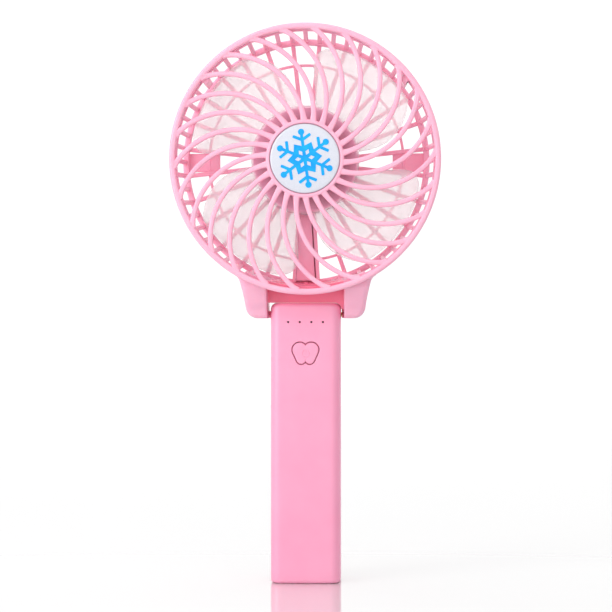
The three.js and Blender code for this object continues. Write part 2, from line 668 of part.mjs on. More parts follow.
/** The whole hollow handle before it is split. */
const hollowHandle = handleBlock(0).subtract(handleBlock(HANDLE_WALL));
const ledPlaces = [-1.5, -0.5, 0.5, 1.5].map((step) => step * LED_PITCH);

function handleFront() {
  const shell = hollowHandle.intersect(box(-20, 20, -20, SPLIT_Y - GAP / 2, -5, 120));
  const posts = SCREW_PLACES.map((at) => rod("y", POST_RADIUS, FRONT_INNER - 0.5, SPLIT_Y - GAP / 2, at, 12));
  const pilots = SCREW_PLACES.map((at) => rod("y", 1, FRONT_INNER + 0.6, 10, at, 8));
  const opening = plateXZ(fruitOutline(GAP / 2), -13, FRONT_INNER + 1);
  const pinholes = ledPlaces.map((x) => rod("y", LED_HOLE, -13, FRONT_INNER + 1, [x, LED_Z], 8));
  const mouth = box(10, 14, BOARD_Y + 0.2, BOARD_Y + 3.8, SOCKET_Z - 4.8, SOCKET_Z + 4.8);
  const inside = handleBlock(HANDLE_WALL - 0.5);
  return cut(join(shell, posts.map((post) => post.intersect(inside))), pilots, opening, pinholes, mouth);
}

function handleRear() {
  const shell = hollowHandle.intersect(box(-20, 20, SPLIT_Y + GAP / 2, 20, -5, 120));
  const inside = handleBlock(HANDLE_WALL - 0.5);
  const postFront = SPLIT_Y + GAP / 2;
  const posts = SCREW_PLACES.map((at) => rod("y", POST_RADIUS, postFront, REAR_INNER + 0.5, at, 12));
  const holes = SCREW_PLACES.map((at) => {
    const shankHole = rod("y", 1.2, 0, 13, at, 8);
    return join(shankHole, rod("y", SCREW_WELL_RADIUS, HANDLE_DEPTH / 2 - SCREW_WELL_DEPTH, 13, at, 16));
  });
  const pinHole = rod("x", PIN_RADIUS + PIN_CLEARANCE, -14, 14, hingeAt);
  return cut(join(shell, posts.map((post) => post.intersect(inside))), holes, pinHole);
}

add(fan, "handle_front", handleFront(), "pink");
add(fan, "handle_rear", handleRear(), "pink");

SCREW_PLACES.forEach((at, k) => {
  const headFront = HANDLE_DEPTH / 2 - SCREW_WELL_DEPTH + GAP;
  const top = rod("y", SCREW_HEAD_RADIUS, headFront, headFront + 1.4, at, 16);
  const shank = rod("y", SCREW_SHANK_RADIUS, -7, headFront + 0.2, at, 8);
  add(fan, `handle_screw_${k + 1}`, join(top, shank), "steel");
});

// ---- power --------------------------------------------------------------------------------

const cellTop = CELL_BOTTOM + CELL_LENGTH;
const cellBody = rod("z", CELL_RADIUS, CELL_BOTTOM, cellTop - 1, [0, 0], 32);
const cellButton = rod("z", 2.8, cellTop - 2, cellTop, [0, 0], 16);
add(fan, "battery_cell", join(cellBody, cellButton), "wrap");
add(fan, "contact_plate_low", box(-5, 5, -6, 6, 2.3, 2.7), "steel");

/** A conical coil between the lower plate and the cell. */
function contactSpring() {
  const turns = 3;
  const steps = 12 * turns;
  const path = Array.from({ length: steps + 1 }, (_, i) => {
    const t = i / steps;
    const angle = 2 * Math.PI * turns * t;
    const radius = 4.6 - 1.8 * t;
    return [radius * Math.cos(angle), radius * Math.sin(angle), 3.4 + 3.9 * t];
  });
  return tube(path, 0.35, 36, 6);
}

add(fan, "battery_spring", contactSpring(), "steel");
add(fan, "contact_plate_high", box(-5, 5, -5, 5, cellTop + GAP, cellTop + 0.7), "steel");

// ---- electronics --------------------------------------------------------------------------

const BOARD_FRONT = BOARD_Y - BOARD_THICKNESS;
const board = box(-BOARD_HALF_WIDTH, BOARD_HALF_WIDTH, BOARD_FRONT, BOARD_Y, 80.4, 103);
add(fan, "circuit_board", board, "green");

const socketShell = box(5.2, 12.3, BOARD_Y + GAP, BOARD_Y + 3.6, SOCKET_Z - 4.5, SOCKET_Z + 4.5);
const socketHollow = box(6.4, 14, BOARD_Y + 0.8, BOARD_Y + 3.1, SOCKET_Z - 4, SOCKET_Z + 4);
add(fan, "charge_socket", cut(socketShell, socketHollow), "steel");
add(fan, "charge_tongue", box(6.7, 11.4, BOARD_Y + 1.6, BOARD_Y + 2.3, SOCKET_Z - 3, SOCKET_Z + 3), "black");

add(fan, "inductor", rod("y", 2.6, BOARD_Y + GAP, BOARD_Y + 3.2, [-4.4, 84.6], 16), "black");
add(fan, "charge_chip", box(-6.4, -2.4, BOARD_Y + GAP, BOARD_Y + 1.6, 90.4, 94.4), "black");

ledPlaces.forEach((x, k) => {
  const front = FRONT_INNER + GAP;
  const lampBase = rod("y", 1, front + 0.6, BOARD_FRONT - GAP, [x, LED_Z], 12);
  const lampTip = rod("y", 0.6, front, front + 1, [x, LED_Z], 12);
  add(fan, `led_${k + 1}`, join(lampBase, lampTip), "clear");
});

const switchFront = BOARD_Y - 4.2;
const switchBlock = box(-3, 3, switchFront, BOARD_FRONT - GAP, BUTTON_Z - 3, BUTTON_Z + 3);
const switchWell = rod("y", 1.5, switchFront - 1, switchFront + 1.9, [0, BUTTON_Z], 16);
add(fan, "switch_body", cut(switchBlock, switchWell), "black");

// ---- button -------------------------------------------------------------------------------

const BUTTON_FRONT = -HANDLE_DEPTH / 2 - BUTTON_RISE;
const FLANGE_FRONT = FRONT_INNER + GAP;
const buttonCap = plateXZ(fruitOutline(-GAP / 2), BUTTON_FRONT, FLANGE_FRONT + 0.2);
const buttonFlange = plateXZ(fruitOutline(FLANGE_MARGIN), FLANGE_FRONT, FLANGE_FRONT + 0.7);
add(fan, "button", join(buttonCap, buttonFlange), "pink");
add(fan, "switch_plunger", rod("y", 1.2, FLANGE_FRONT + 1, switchFront + 1.1, [0, BUTTON_Z], 16), "nylon");

// ---- hinge spring and the lead in the handle ----------------------------------------------

const leaf = [
  [HINGE_Y - 2, 98.4], [HINGE_Y - 1.6, 98.4], [HINGE_Y - 1.6, HINGE_Z - 1.8], [HINGE_Y + 1.4, HINGE_Z - 1.8],
  [HINGE_Y + 1.4, HINGE_Z - 1.5], [HINGE_Y - 2, HINGE_Z - 1.5],
];
add(fan, "friction_spring", plateYZ(leaf, -10.4, -9.2), "steel");

const handleLead = [
  [13.1, HINGE_Y, HINGE_Z], [11, HINGE_Y, HINGE_Z], [8.4, HINGE_Y, HINGE_Z],
  [6.6, HINGE_Y - 0.6, HINGE_Z - 0.8],
  [5.6, HINGE_Y - 2, 99], [5.2, 3, 97], [5.2, 0.4, 96.4], [5.2, BOARD_Y + 0.4, 96.4],
];
add(fan, "handle_lead", tube(handleLead, LEAD_RADIUS, 20), "black");

export default fan;
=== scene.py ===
"""Looks for the folding handheld fan: smooth moulded shells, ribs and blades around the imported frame.

Lengths in this script are millimetres until a mesh is made, and metres from then on.
+Z is up, -Y is the front, +X is the viewer's right.
"polar" angles run clockwise from up, seen from the front.
"""

import math

import bmesh
import bpy
from mathutils import Matrix, Vector


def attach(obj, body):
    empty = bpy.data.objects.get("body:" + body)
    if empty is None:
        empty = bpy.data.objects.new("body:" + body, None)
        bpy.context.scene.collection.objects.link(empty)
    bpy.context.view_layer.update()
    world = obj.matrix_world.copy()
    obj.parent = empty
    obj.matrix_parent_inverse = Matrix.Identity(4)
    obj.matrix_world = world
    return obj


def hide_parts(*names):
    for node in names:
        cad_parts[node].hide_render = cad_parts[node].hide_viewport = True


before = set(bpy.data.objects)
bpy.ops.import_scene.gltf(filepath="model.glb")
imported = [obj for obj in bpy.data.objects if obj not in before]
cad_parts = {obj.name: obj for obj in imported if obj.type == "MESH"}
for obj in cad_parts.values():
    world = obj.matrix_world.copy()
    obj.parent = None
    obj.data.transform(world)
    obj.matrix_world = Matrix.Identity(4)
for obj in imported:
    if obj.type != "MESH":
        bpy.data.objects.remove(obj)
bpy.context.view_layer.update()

MM = 0.001

# ---- driving dimensions, in millimetres ----

HEAD_Z = 159.6
RIM_OUTER, RIM_INNER = 50.65, 48.4
HEAD_FRONT, HEAD_REAR = -22.0, 1.2
RIM_DEPTH = 4.0
RIB_COUNT = 26
RIB_WIDTH, RIB_DEPTH = 1.8, 1.6
RIB_ARC_RADIUS, RIB_ARC_OFFSET, RIB_ARC_ANGLE = 28.16, 30.17, -28.0
BADGE_RADIUS, BADGE_RING_INNER, BADGE_RING_OUTER = 12.95, 13.2, 14.6

WALL_BAR_COUNT, WALL_BAR_WIDTH = 56, 1.7
REAR_RIB_COUNT, REAR_RIB_WIDTH = 28, 1.6
REAR_RING_OUTER, REAR_RING_INNER = 47.1, 44.8
THIN_RING_RADIUS = 37.2
TAB_BAR = 8
TAB_ANGLE = 360 * TAB_BAR / WALL_BAR_COUNT
BAR_OUTER, BAR_INNER, BAR_TAIL = 49.9, 48.3, 45.3
TAB_WIDTH = 2.8

CUP_RADIUS, CUP_WALL, CUP_FRONT = 19.0, 1.6, -15.8
ARM_HALF_AT_CUP, ARM_HALF_AT_RING, ARM_FRONT, ARM_WALL = 3.6, 5.2, -2.5, 1.3
SLOT_WIDTH = 0.5

BLADE_COUNT, BLADE_TIP, BLADE_START = 4, 44.5, 4.5
BLADE_FRONT, BLADE_REAR, BLADE_THICKNESS = -16.4, -5.0, 1.1
SKIRT_INNER, SKIRT_OUTER, ROTOR_FRONT = 19.4, 20.3, -17.5

EAR_INNER, EAR_OUTER, EAR_BOTTOM, EAR_FRONT = 14.5, 22.6, 100.1, -10.4
BOSS_RADIUS, BOSS_REACH, PIN_HOLE = 1.4, 13.6, 1.0

HANDLE_WIDTH, HANDLE_DEPTH, HANDLE_HEIGHT = 26.5, 23.0, 105.9
HANDLE_CORNER, HANDLE_WALL = 4.0, 2.0
TOP_RADIUS, BASE_RADIUS, FRONT_TOP_RADIUS = 2.3, 1.4, 1.6
HINGE_RADIUS = 4.4
HINGE_Y = HANDLE_DEPTH / 2 - HINGE_RADIUS
HINGE_Z = HANDLE_HEIGHT - HINGE_RADIUS
SPLIT_Y = 2.0
GAP = 0.3
NECK_GAP = 0.08
NECK_BOTTOM = HANDLE_HEIGHT + NECK_GAP
SEAM_HALF, GROOVE_HALF, GROOVE_DEPTH = 0.06, 0.17, 0.28
BEYOND = 20

FLANK_BOTTOM, FLANK_TOP, FLANK_SPREAD, FLANK_POWER = 103.5, 112.4, 1.6, 1.4
EAR_FILLET, EAR_FOOT, EAR_HEEL = 4.5, 4.4, 1.4
EAR_HIDDEN = RIM_OUTER - 0.45
EAR_REAR, EAR_LEAN_START, EAR_LEAN_END = HINGE_Y + 4.2, HINGE_Z + 3.6, 118.4
EAR_STEPS = ((1.0, EAR_BOTTOM, 2), (3.2, 102, 5.5), (3.0, 106.5, 6))
BUTTON_Z = 86.9
UPPER_LOBE, LOWER_LOBE = (2.15, 1.3, 2.95), (1.6, -2.2, 1.98)
LED_Z, LED_PITCH, LED_HOLE = 98.7, 4.37, 0.4
SOCKET_Z, BOARD_Y = 88.0, -3.0
SCREW_PLACES = [(-8, 77.8), (8, 77.8), (-8, 5.1), (8, 5.1)]
SCREW_HEAD, SCREW_SUNK, SCREW_SHANK = 1.65, 0.9, 0.8
LEAD_RADIUS = 0.4


# ---- mesh tools ----

def polar(radius, degrees):
    """A point on the fan's face as (x, z) from the fan's axis."""
    angle = math.radians(degrees)
    return radius * math.sin(angle), radius * math.cos(angle)


def arc(centre, radius, start, end, steps):
    """Points along an arc, angles in degrees from the first axis towards the second."""
    points = []
    for i in range(steps + 1):
        angle = math.radians(start + (end - start) * i / steps)
        points.append((centre[0] + radius * math.cos(angle), centre[1] + radius * math.sin(angle)))
    return points


def rounded(corners, radii, steps=5):
    """A closed outline through corners, each rounded by its radius."""
    points = []
    count = len(corners)
    for i, corner in enumerate(corners):
        radius = radii[i] if isinstance(radii, (list, tuple)) else radii
        here = Vector(corner)
        back = (Vector(corners[i - 1]) - here)
        ahead = (Vector(corners[(i + 1) % count]) - here)
        half = back.angle(ahead) / 2
        reach = min(radius / math.tan(half), 0.49 * back.length, 0.49 * ahead.length)
        if radius < 0.01:
            points.append(tuple(here))
            continue
        radius = reach * math.tan(half)
        bisector = (back.normalized() + ahead.normalized()).normalized()
        centre = here + bisector * (radius / math.sin(half))
        first = here + back.normalized() * reach - centre
        turn = math.pi - 2 * half
        sign = 1 if back.x * ahead.y - back.y * ahead.x < 0 else -1
        for k in range(steps + 1):
            angle = sign * turn * k / steps
            c, s = math.cos(angle), math.sin(angle)
            points.append((centre.x + first.x * c - first.y * s, centre.y + first.x * s + first.y * c))
    return points


def rectangle(x0, x1, z0, z1):
    return [(x0, z0), (x1, z0), (x1, z1), (x0, z1)]


def round_off(radius, depth):
    """How far a rounded corner has drawn in at a depth past its start."""
    return radius - math.sqrt(max(0.0, radius * radius - depth * depth)) if depth > 0 else 0.0


def evenly(count):
    return [k * 360 / count for k in range(count)]


def new_object(name, verts, faces):
    """An object from vertices in millimetres, with its faces pointing out."""
    mesh = bpy.data.meshes.new(name)
    mesh.from_pydata([Vector(v) * MM for v in verts], [], faces)
    work = bmesh.new()
    work.from_mesh(mesh)
    bmesh.ops.remove_doubles(work, verts=work.verts, dist=1e-7)
    bmesh.ops.recalc_face_normals(work, faces=work.faces)
    work.to_mesh(mesh)
    work.free()
    obj = bpy.data.objects.new(name, mesh)
    bpy.context.scene.collection.objects.link(obj)
    return obj


def loft(name, loops, closed=False):
    """A solid through a row of equal loops of points, capped at its ends unless it closes on itself."""
    width = len(loops[0])
    verts = [p for loop in loops for p in loop]
    faces = []
    rows = len(loops) if closed else len(loops) - 1
    for j in range(rows):
        a, b = j * width, ((j + 1) % len(loops)) * width
        for i in range(width):
            k = (i + 1) % width
            faces.append((a + i, a + k, b + k, b + i))
    if not closed:
        faces.append(tuple(reversed(range(width))))
        faces.append(tuple((len(loops) - 1) * width + i for i in range(width)))
    return new_object(name, verts, faces)


def turned(name, profile, sides=224):
    """A body of revolution about the fan's axis from a closed outline of (radius, y)."""
    loops = []
    for k in range(sides):
        angle = 2 * math.pi * (k + 0.5) / sides
        s, c = math.sin(angle), math.cos(angle)
        loops.append([(r * s, y, HEAD_Z + r * c) for r, y in profile])
    return loft(name, loops, closed=True)


def turned_disc(name, profile, sides, centre=(0, HEAD_Z)):
    """A body of revolution whose outline of (radius, y) starts and ends on the axis."""
    inner = profile[1:-1]
    verts, faces = [], []
    for k in range(sides):
        angle = 2 * math.pi * k / sides
        verts += [(centre[0] + r * math.sin(angle), y, centre[1] + r * math.cos(angle)) for r, y in inner]
    first, last = len(verts), len(verts) + 1
    verts += [(centre[0], profile[0][1], centre[1]), (centre[0], profile[-1][1], centre[1])]
    width = len(inner)
    for k in range(sides):
        a, b = k * width, ((k + 1) % sides) * width
        faces.append((first, a, b))
        faces.append((last, b + width - 1, a + width - 1))
        for i in range(width - 1):
            faces.append((a + i, a + i + 1, b + i + 1, b + i))
    return new_object(name, verts, faces)


def plate(name, outline, y0, y1, edge=0.0):
    """An outline of (x, z) extruded from y0 to y1, with its rims rounded by edge."""
    steps = 3
    loops = [(0, y0), (0, y1)]
    if edge:
        turns = [math.pi / 2 * k / steps for k in range(steps + 1)]
        loops = [(edge * (1 - math.sin(turn)), y0 + edge * (1 - math.cos(turn))) for turn in turns]
        loops += [(edge * (1 - math.cos(turn)), y1 - edge * (1 - math.sin(turn))) for turn in turns]
    return loft(name, [[(x, y, z) for x, z in inset_outline(outline, inset)] for inset, y in loops])


def inset_outline(outline, inset):
    """The outline moved inwards by inset along its own normals."""
    if not inset:
        return outline
    area = sum(a[0] * b[1] - b[0] * a[1] for a, b in zip(outline, outline[1:] + outline[:1]))
    sign = 1 if area > 0 else -1
    moved = []
    count = len(outline)
    for i in range(count):
        a, b = Vector(outline[i - 1]), Vector(outline[(i + 1) % count])
        here = Vector(outline[i])
        before = (here - a)
        after = (b - here)
        before = before.normalized() if before.length > 1e-9 else after.normalized()
        after = after.normalized() if after.length > 1e-9 else before
        normal = Vector((-(before.y + after.y), before.x + after.x)).normalized() * sign
        scale = 1 / max(0.5, normal.dot(Vector((-before.y, before.x)) * sign))
        spot = here + normal * inset * scale
        moved.append((spot.x, spot.y))
    return moved


def bar(name, radius, start, end, sides=32):
    """A round bar between two points."""
    a, b = Vector(start), Vector(end)
    axis = (b - a).normalized()
    u = axis.orthogonal().normalized()
    v = axis.cross(u)
    turns = [2 * math.pi * k / sides for k in range(sides)]
    spokes = [u * math.cos(turn) + v * math.sin(turn) for turn in turns]
    return loft(name, [[a + spoke * radius for spoke in spokes], [b + spoke * radius for spoke in spokes]])


def box(name, x0, x1, y0, y1, z0, z1, edge=0.0):
    """A block whose upright and lengthwise edges may be rounded, as an extruded outline."""
    return plate(name, rounded(rectangle(x0, x1, z0, z1), edge, 4), y0, y1, edge)


def sweep(name, path, section, ups):
    """A section of (side, up) points carried along a path whose up direction is given at each point."""
    loops = []
    for i, point in enumerate(path):
        here = Vector(point)
        ahead = Vector(path[min(i + 1, len(path) - 1)]) - Vector(path[max(i - 1, 0)])
        tangent = ahead.normalized()
        up = Vector(ups[i] if isinstance(ups, list) else ups)
        side = tangent.cross(up).normalized()
        up = side.cross(tangent).normalized()
        loops.append([here + side * s + up * u for s, u in section])
    return loft(name, loops)


def spin(obj, degrees):
    """Turns a piece about the fan's axis, clockwise seen from the front."""
    centre = Matrix.Translation((0, 0, HEAD_Z * MM))
    turn = Matrix.Rotation(math.radians(degrees), 4, "Y")
    obj.data.transform(centre @ turn @ centre.inverted())
    return obj


def copy_spun(obj, angles):
    """Copies of a piece turned about the fan's axis to each angle; the first object is used up."""
    copies = []
    for angle in angles:
        twin = bpy.data.objects.new(obj.name, obj.data.copy())
        bpy.context.scene.collection.objects.link(twin)
        copies.append(spin(twin, angle))
    bpy.data.objects.remove(obj)
    return copies


def merge(name, parts):
    """One object holding every part's mesh, with nothing joined."""
    work = bmesh.new()
    for part in parts:
        work.from_mesh(part.data)
        bpy.data.objects.remove(part)
    mesh = bpy.data.meshes.new(name)
    work.to_mesh(mesh)
    work.free()
    obj = bpy.data.objects.new(name, mesh)
    bpy.context.scene.collection.objects.link(obj)
    return obj


def boolean(obj, other, operation):
    """Applies one boolean of two closed meshes and removes the second."""
    modifier = obj.modifiers.new("cut", "BOOLEAN")
    modifier.object = other
    modifier.operation = operation
    modifier.solver = "MANIFOLD"
    depsgraph = bpy.context.evaluated_depsgraph_get()
    mesh = bpy.data.meshes.new_from_object(obj.evaluated_get(depsgraph))
    obj.modifiers.clear()
    obj.data = mesh
    bpy.data.objects.remove(other)
    return obj


def join(parts):
    whole = parts[0]
    for part in parts[1:]:
        boolean(whole, part, "UNION")
    return whole


def cut(whole, tools):
    for tool in tools:
        boolean(whole, tool, "DIFFERENCE")
    return whole


def finish_piece(obj, name, body, material, replaces=(), smooth=38):
    """Names a piece, smooths its shading up to an edge angle, paints it and ties it to the frame."""
    obj.name = name
    obj.data.name = name
    obj.data.materials.clear()
    obj.data.materials.append(material)
    for polygon in obj.data.polygons:
        polygon.use_smooth = True
    obj.data.set_sharp_from_angle(angle=math.radians(smooth))
    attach(obj, body)
    if replaces:
        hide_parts(*replaces)
    return obj


# ---- materials ----

def material_nodes(name):
    material = bpy.data.materials.new(name)
    material.use_nodes = True
    tree = material.node_tree
    shader = tree.nodes["Principled BSDF"]
    return material, tree, shader


def set_sockets(node, values):
    """Sets a node's own constants."""
    for name, value in values.items():
        node.inputs[name].default_value = value


def noise(tree, scale, detail):
    """Noise in the piece's own coordinates, with scale in features per metre."""
    coordinates = tree.nodes.new("ShaderNodeTexCoord")
    texture = tree.nodes.new("ShaderNodeTexNoise")
    set_sockets(texture, {"Scale": scale, "Detail": detail, "Roughness": 0.55})
    tree.links.new(coordinates.outputs["Object"], texture.inputs["Vector"])
    return texture.outputs["Fac"]


def ramp(tree, source, low, high, start=0.3, end=0.7):
    node = tree.nodes.new("ShaderNodeMapRange")
    set_sockets(node, {"From Min": start, "From Max": end, "To Min": low, "To Max": high})
    tree.links.new(source, node.inputs["Value"])
    return node.outputs["Result"]


def tint(tree, source, low, high):
    node = tree.nodes.new("ShaderNodeValToRGB")
    node.color_ramp.elements[0].position = 0.3
    node.color_ramp.elements[1].position = 0.7
    node.color_ramp.elements[0].color = (*low, 1)
    node.color_ramp.elements[1].color = (*high, 1)
    tree.links.new(source, node.inputs["Fac"])
    return node.outputs["Color"]


def bump(tree, shader, source, strength, distance):
    node = tree.nodes.new("ShaderNodeBump")
    set_sockets(node, {"Strength": strength, "Distance": distance})
    tree.links.new(source, node.inputs["Height"])
    tree.links.new(node.outputs["Normal"], shader.inputs["Normal"])


def mix(tree, factor, low, high):
    """A colour that goes from low to high with the factor; each is a colour or a node's output."""
    node = tree.nodes.new("ShaderNodeMix")
    node.data_type = "RGBA"
    tree.links.new(factor, node.inputs["Factor"])
    for socket, colour in (("A", low), ("B", high)):
        if isinstance(colour, tuple):
            node.inputs[socket].default_value = (*colour, 1)
        else:
            tree.links.new(colour, node.inputs[socket])
    return node.outputs["Result"]


def maths(tree, operation, *sources):
    node = tree.nodes.new("ShaderNodeMath")
    node.operation = operation
    for i, source in enumerate(sources):
        tree.links.new(source, node.inputs[i])
    return node.outputs["Value"]


def uneven_gloss(tree, shader, source, low, high):
    tree.links.new(ramp(tree, source, low, high), shader.inputs["Roughness"])


def tinted_material(name, scale, detail, low, high):
    """A material whose base colour drifts between two colours, and the drift itself."""
    material, tree, shader = material_nodes(name)
    drift = noise(tree, scale, detail)
    tree.links.new(tint(tree, drift, low, high), shader.inputs["Base Color"])
    return material, tree, shader, drift


def moulded_plastic(name, low, high, roughness, glow=0.12):
    """Satin ABS: faint colour drift, uneven gloss and the fine orange peel of a moulding."""
    material, tree, shader, _ = tinted_material(name, 60, 2, low, high)
    uneven_gloss(tree, shader, noise(tree, 900, 4), roughness - 0.04, roughness + 0.05)
    bump(tree, shader, noise(tree, 2600, 3), 0.35, 0.000004)
    set_sockets(shader, {"IOR": 1.5, "Subsurface Weight": glow, "Subsurface Radius": (1.0, 0.35, 0.45),
                         "Subsurface Scale": 0.0012, "Coat Weight": 0.12, "Coat Roughness": 0.22})
    return material


def depth_along(tree, axis):
    """One coordinate of the piece's own space, in metres."""
    place = tree.nodes.new("ShaderNodeTexCoord")
    axes = tree.nodes.new("ShaderNodeSeparateXYZ")
    tree.links.new(place.outputs["Object"], axes.inputs["Vector"])
    return axes.outputs[axis]


def distance_from_axis(tree):
    """Distance from the fan's axis in the piece's own space, in metres."""
    flat = tree.nodes.new("ShaderNodeCombineXYZ")
    tree.links.new(depth_along(tree, "X"), flat.inputs["X"])
    tree.links.new(depth_along(tree, "Z"), flat.inputs["Z"])
    reach = tree.nodes.new("ShaderNodeVectorMath")
    reach.operation = "DISTANCE"
    reach.inputs[1].default_value = (0, 0, HEAD_Z * MM)
    tree.links.new(flat.outputs["Vector"], reach.inputs[0])
    return reach.outputs["Value"]


def frosted_plastic():
    """Frosted translucent plastic: milky blades, and a hub tinted by the pink motor cup just behind it."""
    material, tree, shader = material_nodes("frosted_plastic")
    radius = distance_from_axis(tree)
    hub_edge, fade = (SKIRT_OUTER - 0.9) * MM, 0.0012
    edge = (hub_edge, hub_edge + fade)
    milky = tint(tree, noise(tree, 150, 3), (0.99, 0.955, 0.96), (1.0, 0.985, 0.985))
    colour = mix(tree, ramp(tree, radius, 0.0, 1.0, *edge), (1.0, 0.46, 0.62), milky)
    tree.links.new(colour, shader.inputs["Base Color"])
    tree.links.new(ramp(tree, radius, 0.72, 0.38, *edge), shader.inputs["Alpha"])
    uneven_gloss(tree, shader, noise(tree, 1200, 4), 0.24, 0.32)
    set_sockets(shader, {"IOR": 1.3, "Subsurface Weight": 0.7, "Subsurface Radius": (1.0, 0.9, 0.9),
                         "Subsurface Scale": 0.004, "Coat Weight": 0.2, "Coat Roughness": 0.12})
    return material


def cage_plastic_with_painted_shade():
    """The cage's pink with painted shade: pale on the front of the ears, painted deeper towards the rear, and
    a painted shadow, deepest of all, on the neck.
    """
    # painted shade: these deeper drifting pinks stand for the shade on the rear of the cage; the pale front
    # colour below is the moulding's own pink
    material = moulded_plastic("cage_moulding", (0.985, 0.40, 0.55), (1.0, 0.44, 0.59), 0.38, glow=0.35)
    tree = material.node_tree
    shader = tree.nodes["Principled BSDF"]
    rear_painted_shade = shader.inputs["Base Color"].links[0].from_socket
    # painted shade: the pink deepens from y -8 mm to +1 mm, towards the rear
    rear_shade_ramp = ramp(tree, depth_along(tree, "Y"), 0.0, 1.0, -0.008, 0.001)
    cage = mix(tree, rear_shade_ramp, (0.985, 0.475, 0.635), rear_painted_shade)
    # painted shadow: the neck between the ears, below the ring, is painted a deep red-pink for the shade in
    # the gap above the handle
    sideways = maths(tree, "ABSOLUTE", depth_along(tree, "X"))
    between_ears = ramp(tree, sideways, 1.0, 0.0, (EAR_INNER - 0.2) * MM, EAR_INNER * MM)
    below_ring = ramp(tree, depth_along(tree, "Z"), 1.0, 0.0, 0.1135, 0.1150)
    neck_shadow_mask = maths(tree, "MULTIPLY", between_ears, below_ring)
    tree.links.new(mix(tree, neck_shadow_mask, cage, (1.0, 0.23, 0.37)), shader.inputs["Base Color"])
    return material


def pearl():
    """Pale pearl print: fine sparkle over a lilac-grey ground."""
    material, tree, shader = material_nodes("pearl_print")
    cells = tree.nodes.new("ShaderNodeTexVoronoi")
    set_sockets(cells, {"Scale": 4200})
    coordinates = tree.nodes.new("ShaderNodeTexCoord")
    tree.links.new(coordinates.outputs["Object"], cells.inputs["Vector"])
    shade = tree.nodes.new("ShaderNodeSeparateColor")
    tree.links.new(cells.outputs["Color"], shade.inputs["Color"])
    low, high = (0.65, 0.67, 0.75), (0.69, 0.70, 0.78)
    tree.links.new(tint(tree, shade.outputs["Red"], low, high), shader.inputs["Base Color"])
    tree.links.new(ramp(tree, shade.outputs["Green"], 0.30, 0.38, 0, 1), shader.inputs["Roughness"])
    set_sockets(shader, {"Metallic": 0.12, "Coat Weight": 0.35, "Coat Roughness": 0.1})
    return material


def ink_blue():
    """Sky-blue print, a little uneven, turning cyan in places."""
    material, tree, shader, _ = tinted_material("blue_ink", 420, 3, (0.004, 0.33, 0.86), (0.006, 0.44, 0.88))
    uneven_gloss(tree, shader, noise(tree, 3000, 2), 0.4, 0.5)
    set_sockets(shader, {"Specular IOR Level": 0.25})
    return material


def metal(name, colour, roughness, streak):
    """Metal with fine tool marks drawn out along one axis."""
    material, tree, shader = material_nodes(name)
    coordinates = tree.nodes.new("ShaderNodeTexCoord")
    mapping = tree.nodes.new("ShaderNodeMapping")
    texture = tree.nodes.new("ShaderNodeTexNoise")
    set_sockets(shader, {"Metallic": 1.0})
    set_sockets(mapping, {"Scale": streak})
    set_sockets(texture, {"Scale": 2500, "Detail": 4})
    tree.links.new(coordinates.outputs["Object"], mapping.inputs["Vector"])
    tree.links.new(mapping.outputs["Vector"], texture.inputs["Vector"])
    marks = texture.outputs["Fac"]
    low = tuple(0.85 * c for c in colour)
    tree.links.new(tint(tree, marks, low, colour), shader.inputs["Base Color"])
    uneven_gloss(tree, shader, marks, roughness - 0.08, roughness + 0.1)
    bump(tree, shader, marks, 0.3, 0.000006)
    return material


def dull(name, low, high, roughness):
    """A plain moulded or sleeved part with a faint grain."""
    material, tree, shader, grain = tinted_material(name, 1500, 3, low, high)
    uneven_gloss(tree, shader, grain, roughness - 0.06, roughness + 0.06)
    bump(tree, shader, grain, 0.3, 0.00001)
    return material


PINK = moulded_plastic("pink_moulding", (0.955, 0.36, 0.54), (0.985, 0.392, 0.572), 0.34)
RIB_PINK = moulded_plastic("grille_moulding", (0.965, 0.45, 0.60), (0.99, 0.49, 0.64), 0.32, glow=0.25)
# the cage's pink carries painted shade towards the rear and a painted shadow on the neck
CAGE_PINK_WITH_PAINTED_SHADE = cage_plastic_with_painted_shade()
FROSTED = frosted_plastic()
PEARL = pearl()
BLUE = ink_blue()
STEEL = metal("bright_steel", (0.62, 0.63, 0.65), 0.3, (1, 8, 1))
BRASS = metal("turned_brass", (0.78, 0.57, 0.26), 0.3, (8, 1, 1))
BLACK = dull("black_sleeve", (0.012, 0.010, 0.012), (0.03, 0.024, 0.028), 0.45)
NYLON = dull("natural_nylon", (0.72, 0.70, 0.66), (0.82, 0.80, 0.76), 0.5)
BOARD = dull("board_mask", (0.01, 0.11, 0.05), (0.02, 0.17, 0.08), 0.4)
WRAP = dull("cell_wrap", (0.03, 0.12, 0.34), (0.05, 0.17, 0.42), 0.35)
# near black: the lamps are dark when off, and the near-black also stands in as painted shade deep in the
# pinholes
SMOKED_LAMP_AND_SHADE = dull("smoked_lamp", (0.012, 0.004, 0.006), (0.03, 0.01, 0.014), 0.4)


# ---- front grille ----

def rib_angle(radius):
    """Where the rib's arc crosses a radius from the fan's axis, as an angle about the arc's centre."""
    d, r = RIB_ARC_OFFSET, RIB_ARC_RADIUS
    return math.degrees(math.acos((d * d + r * r - radius * radius) / (2 * d * r)))


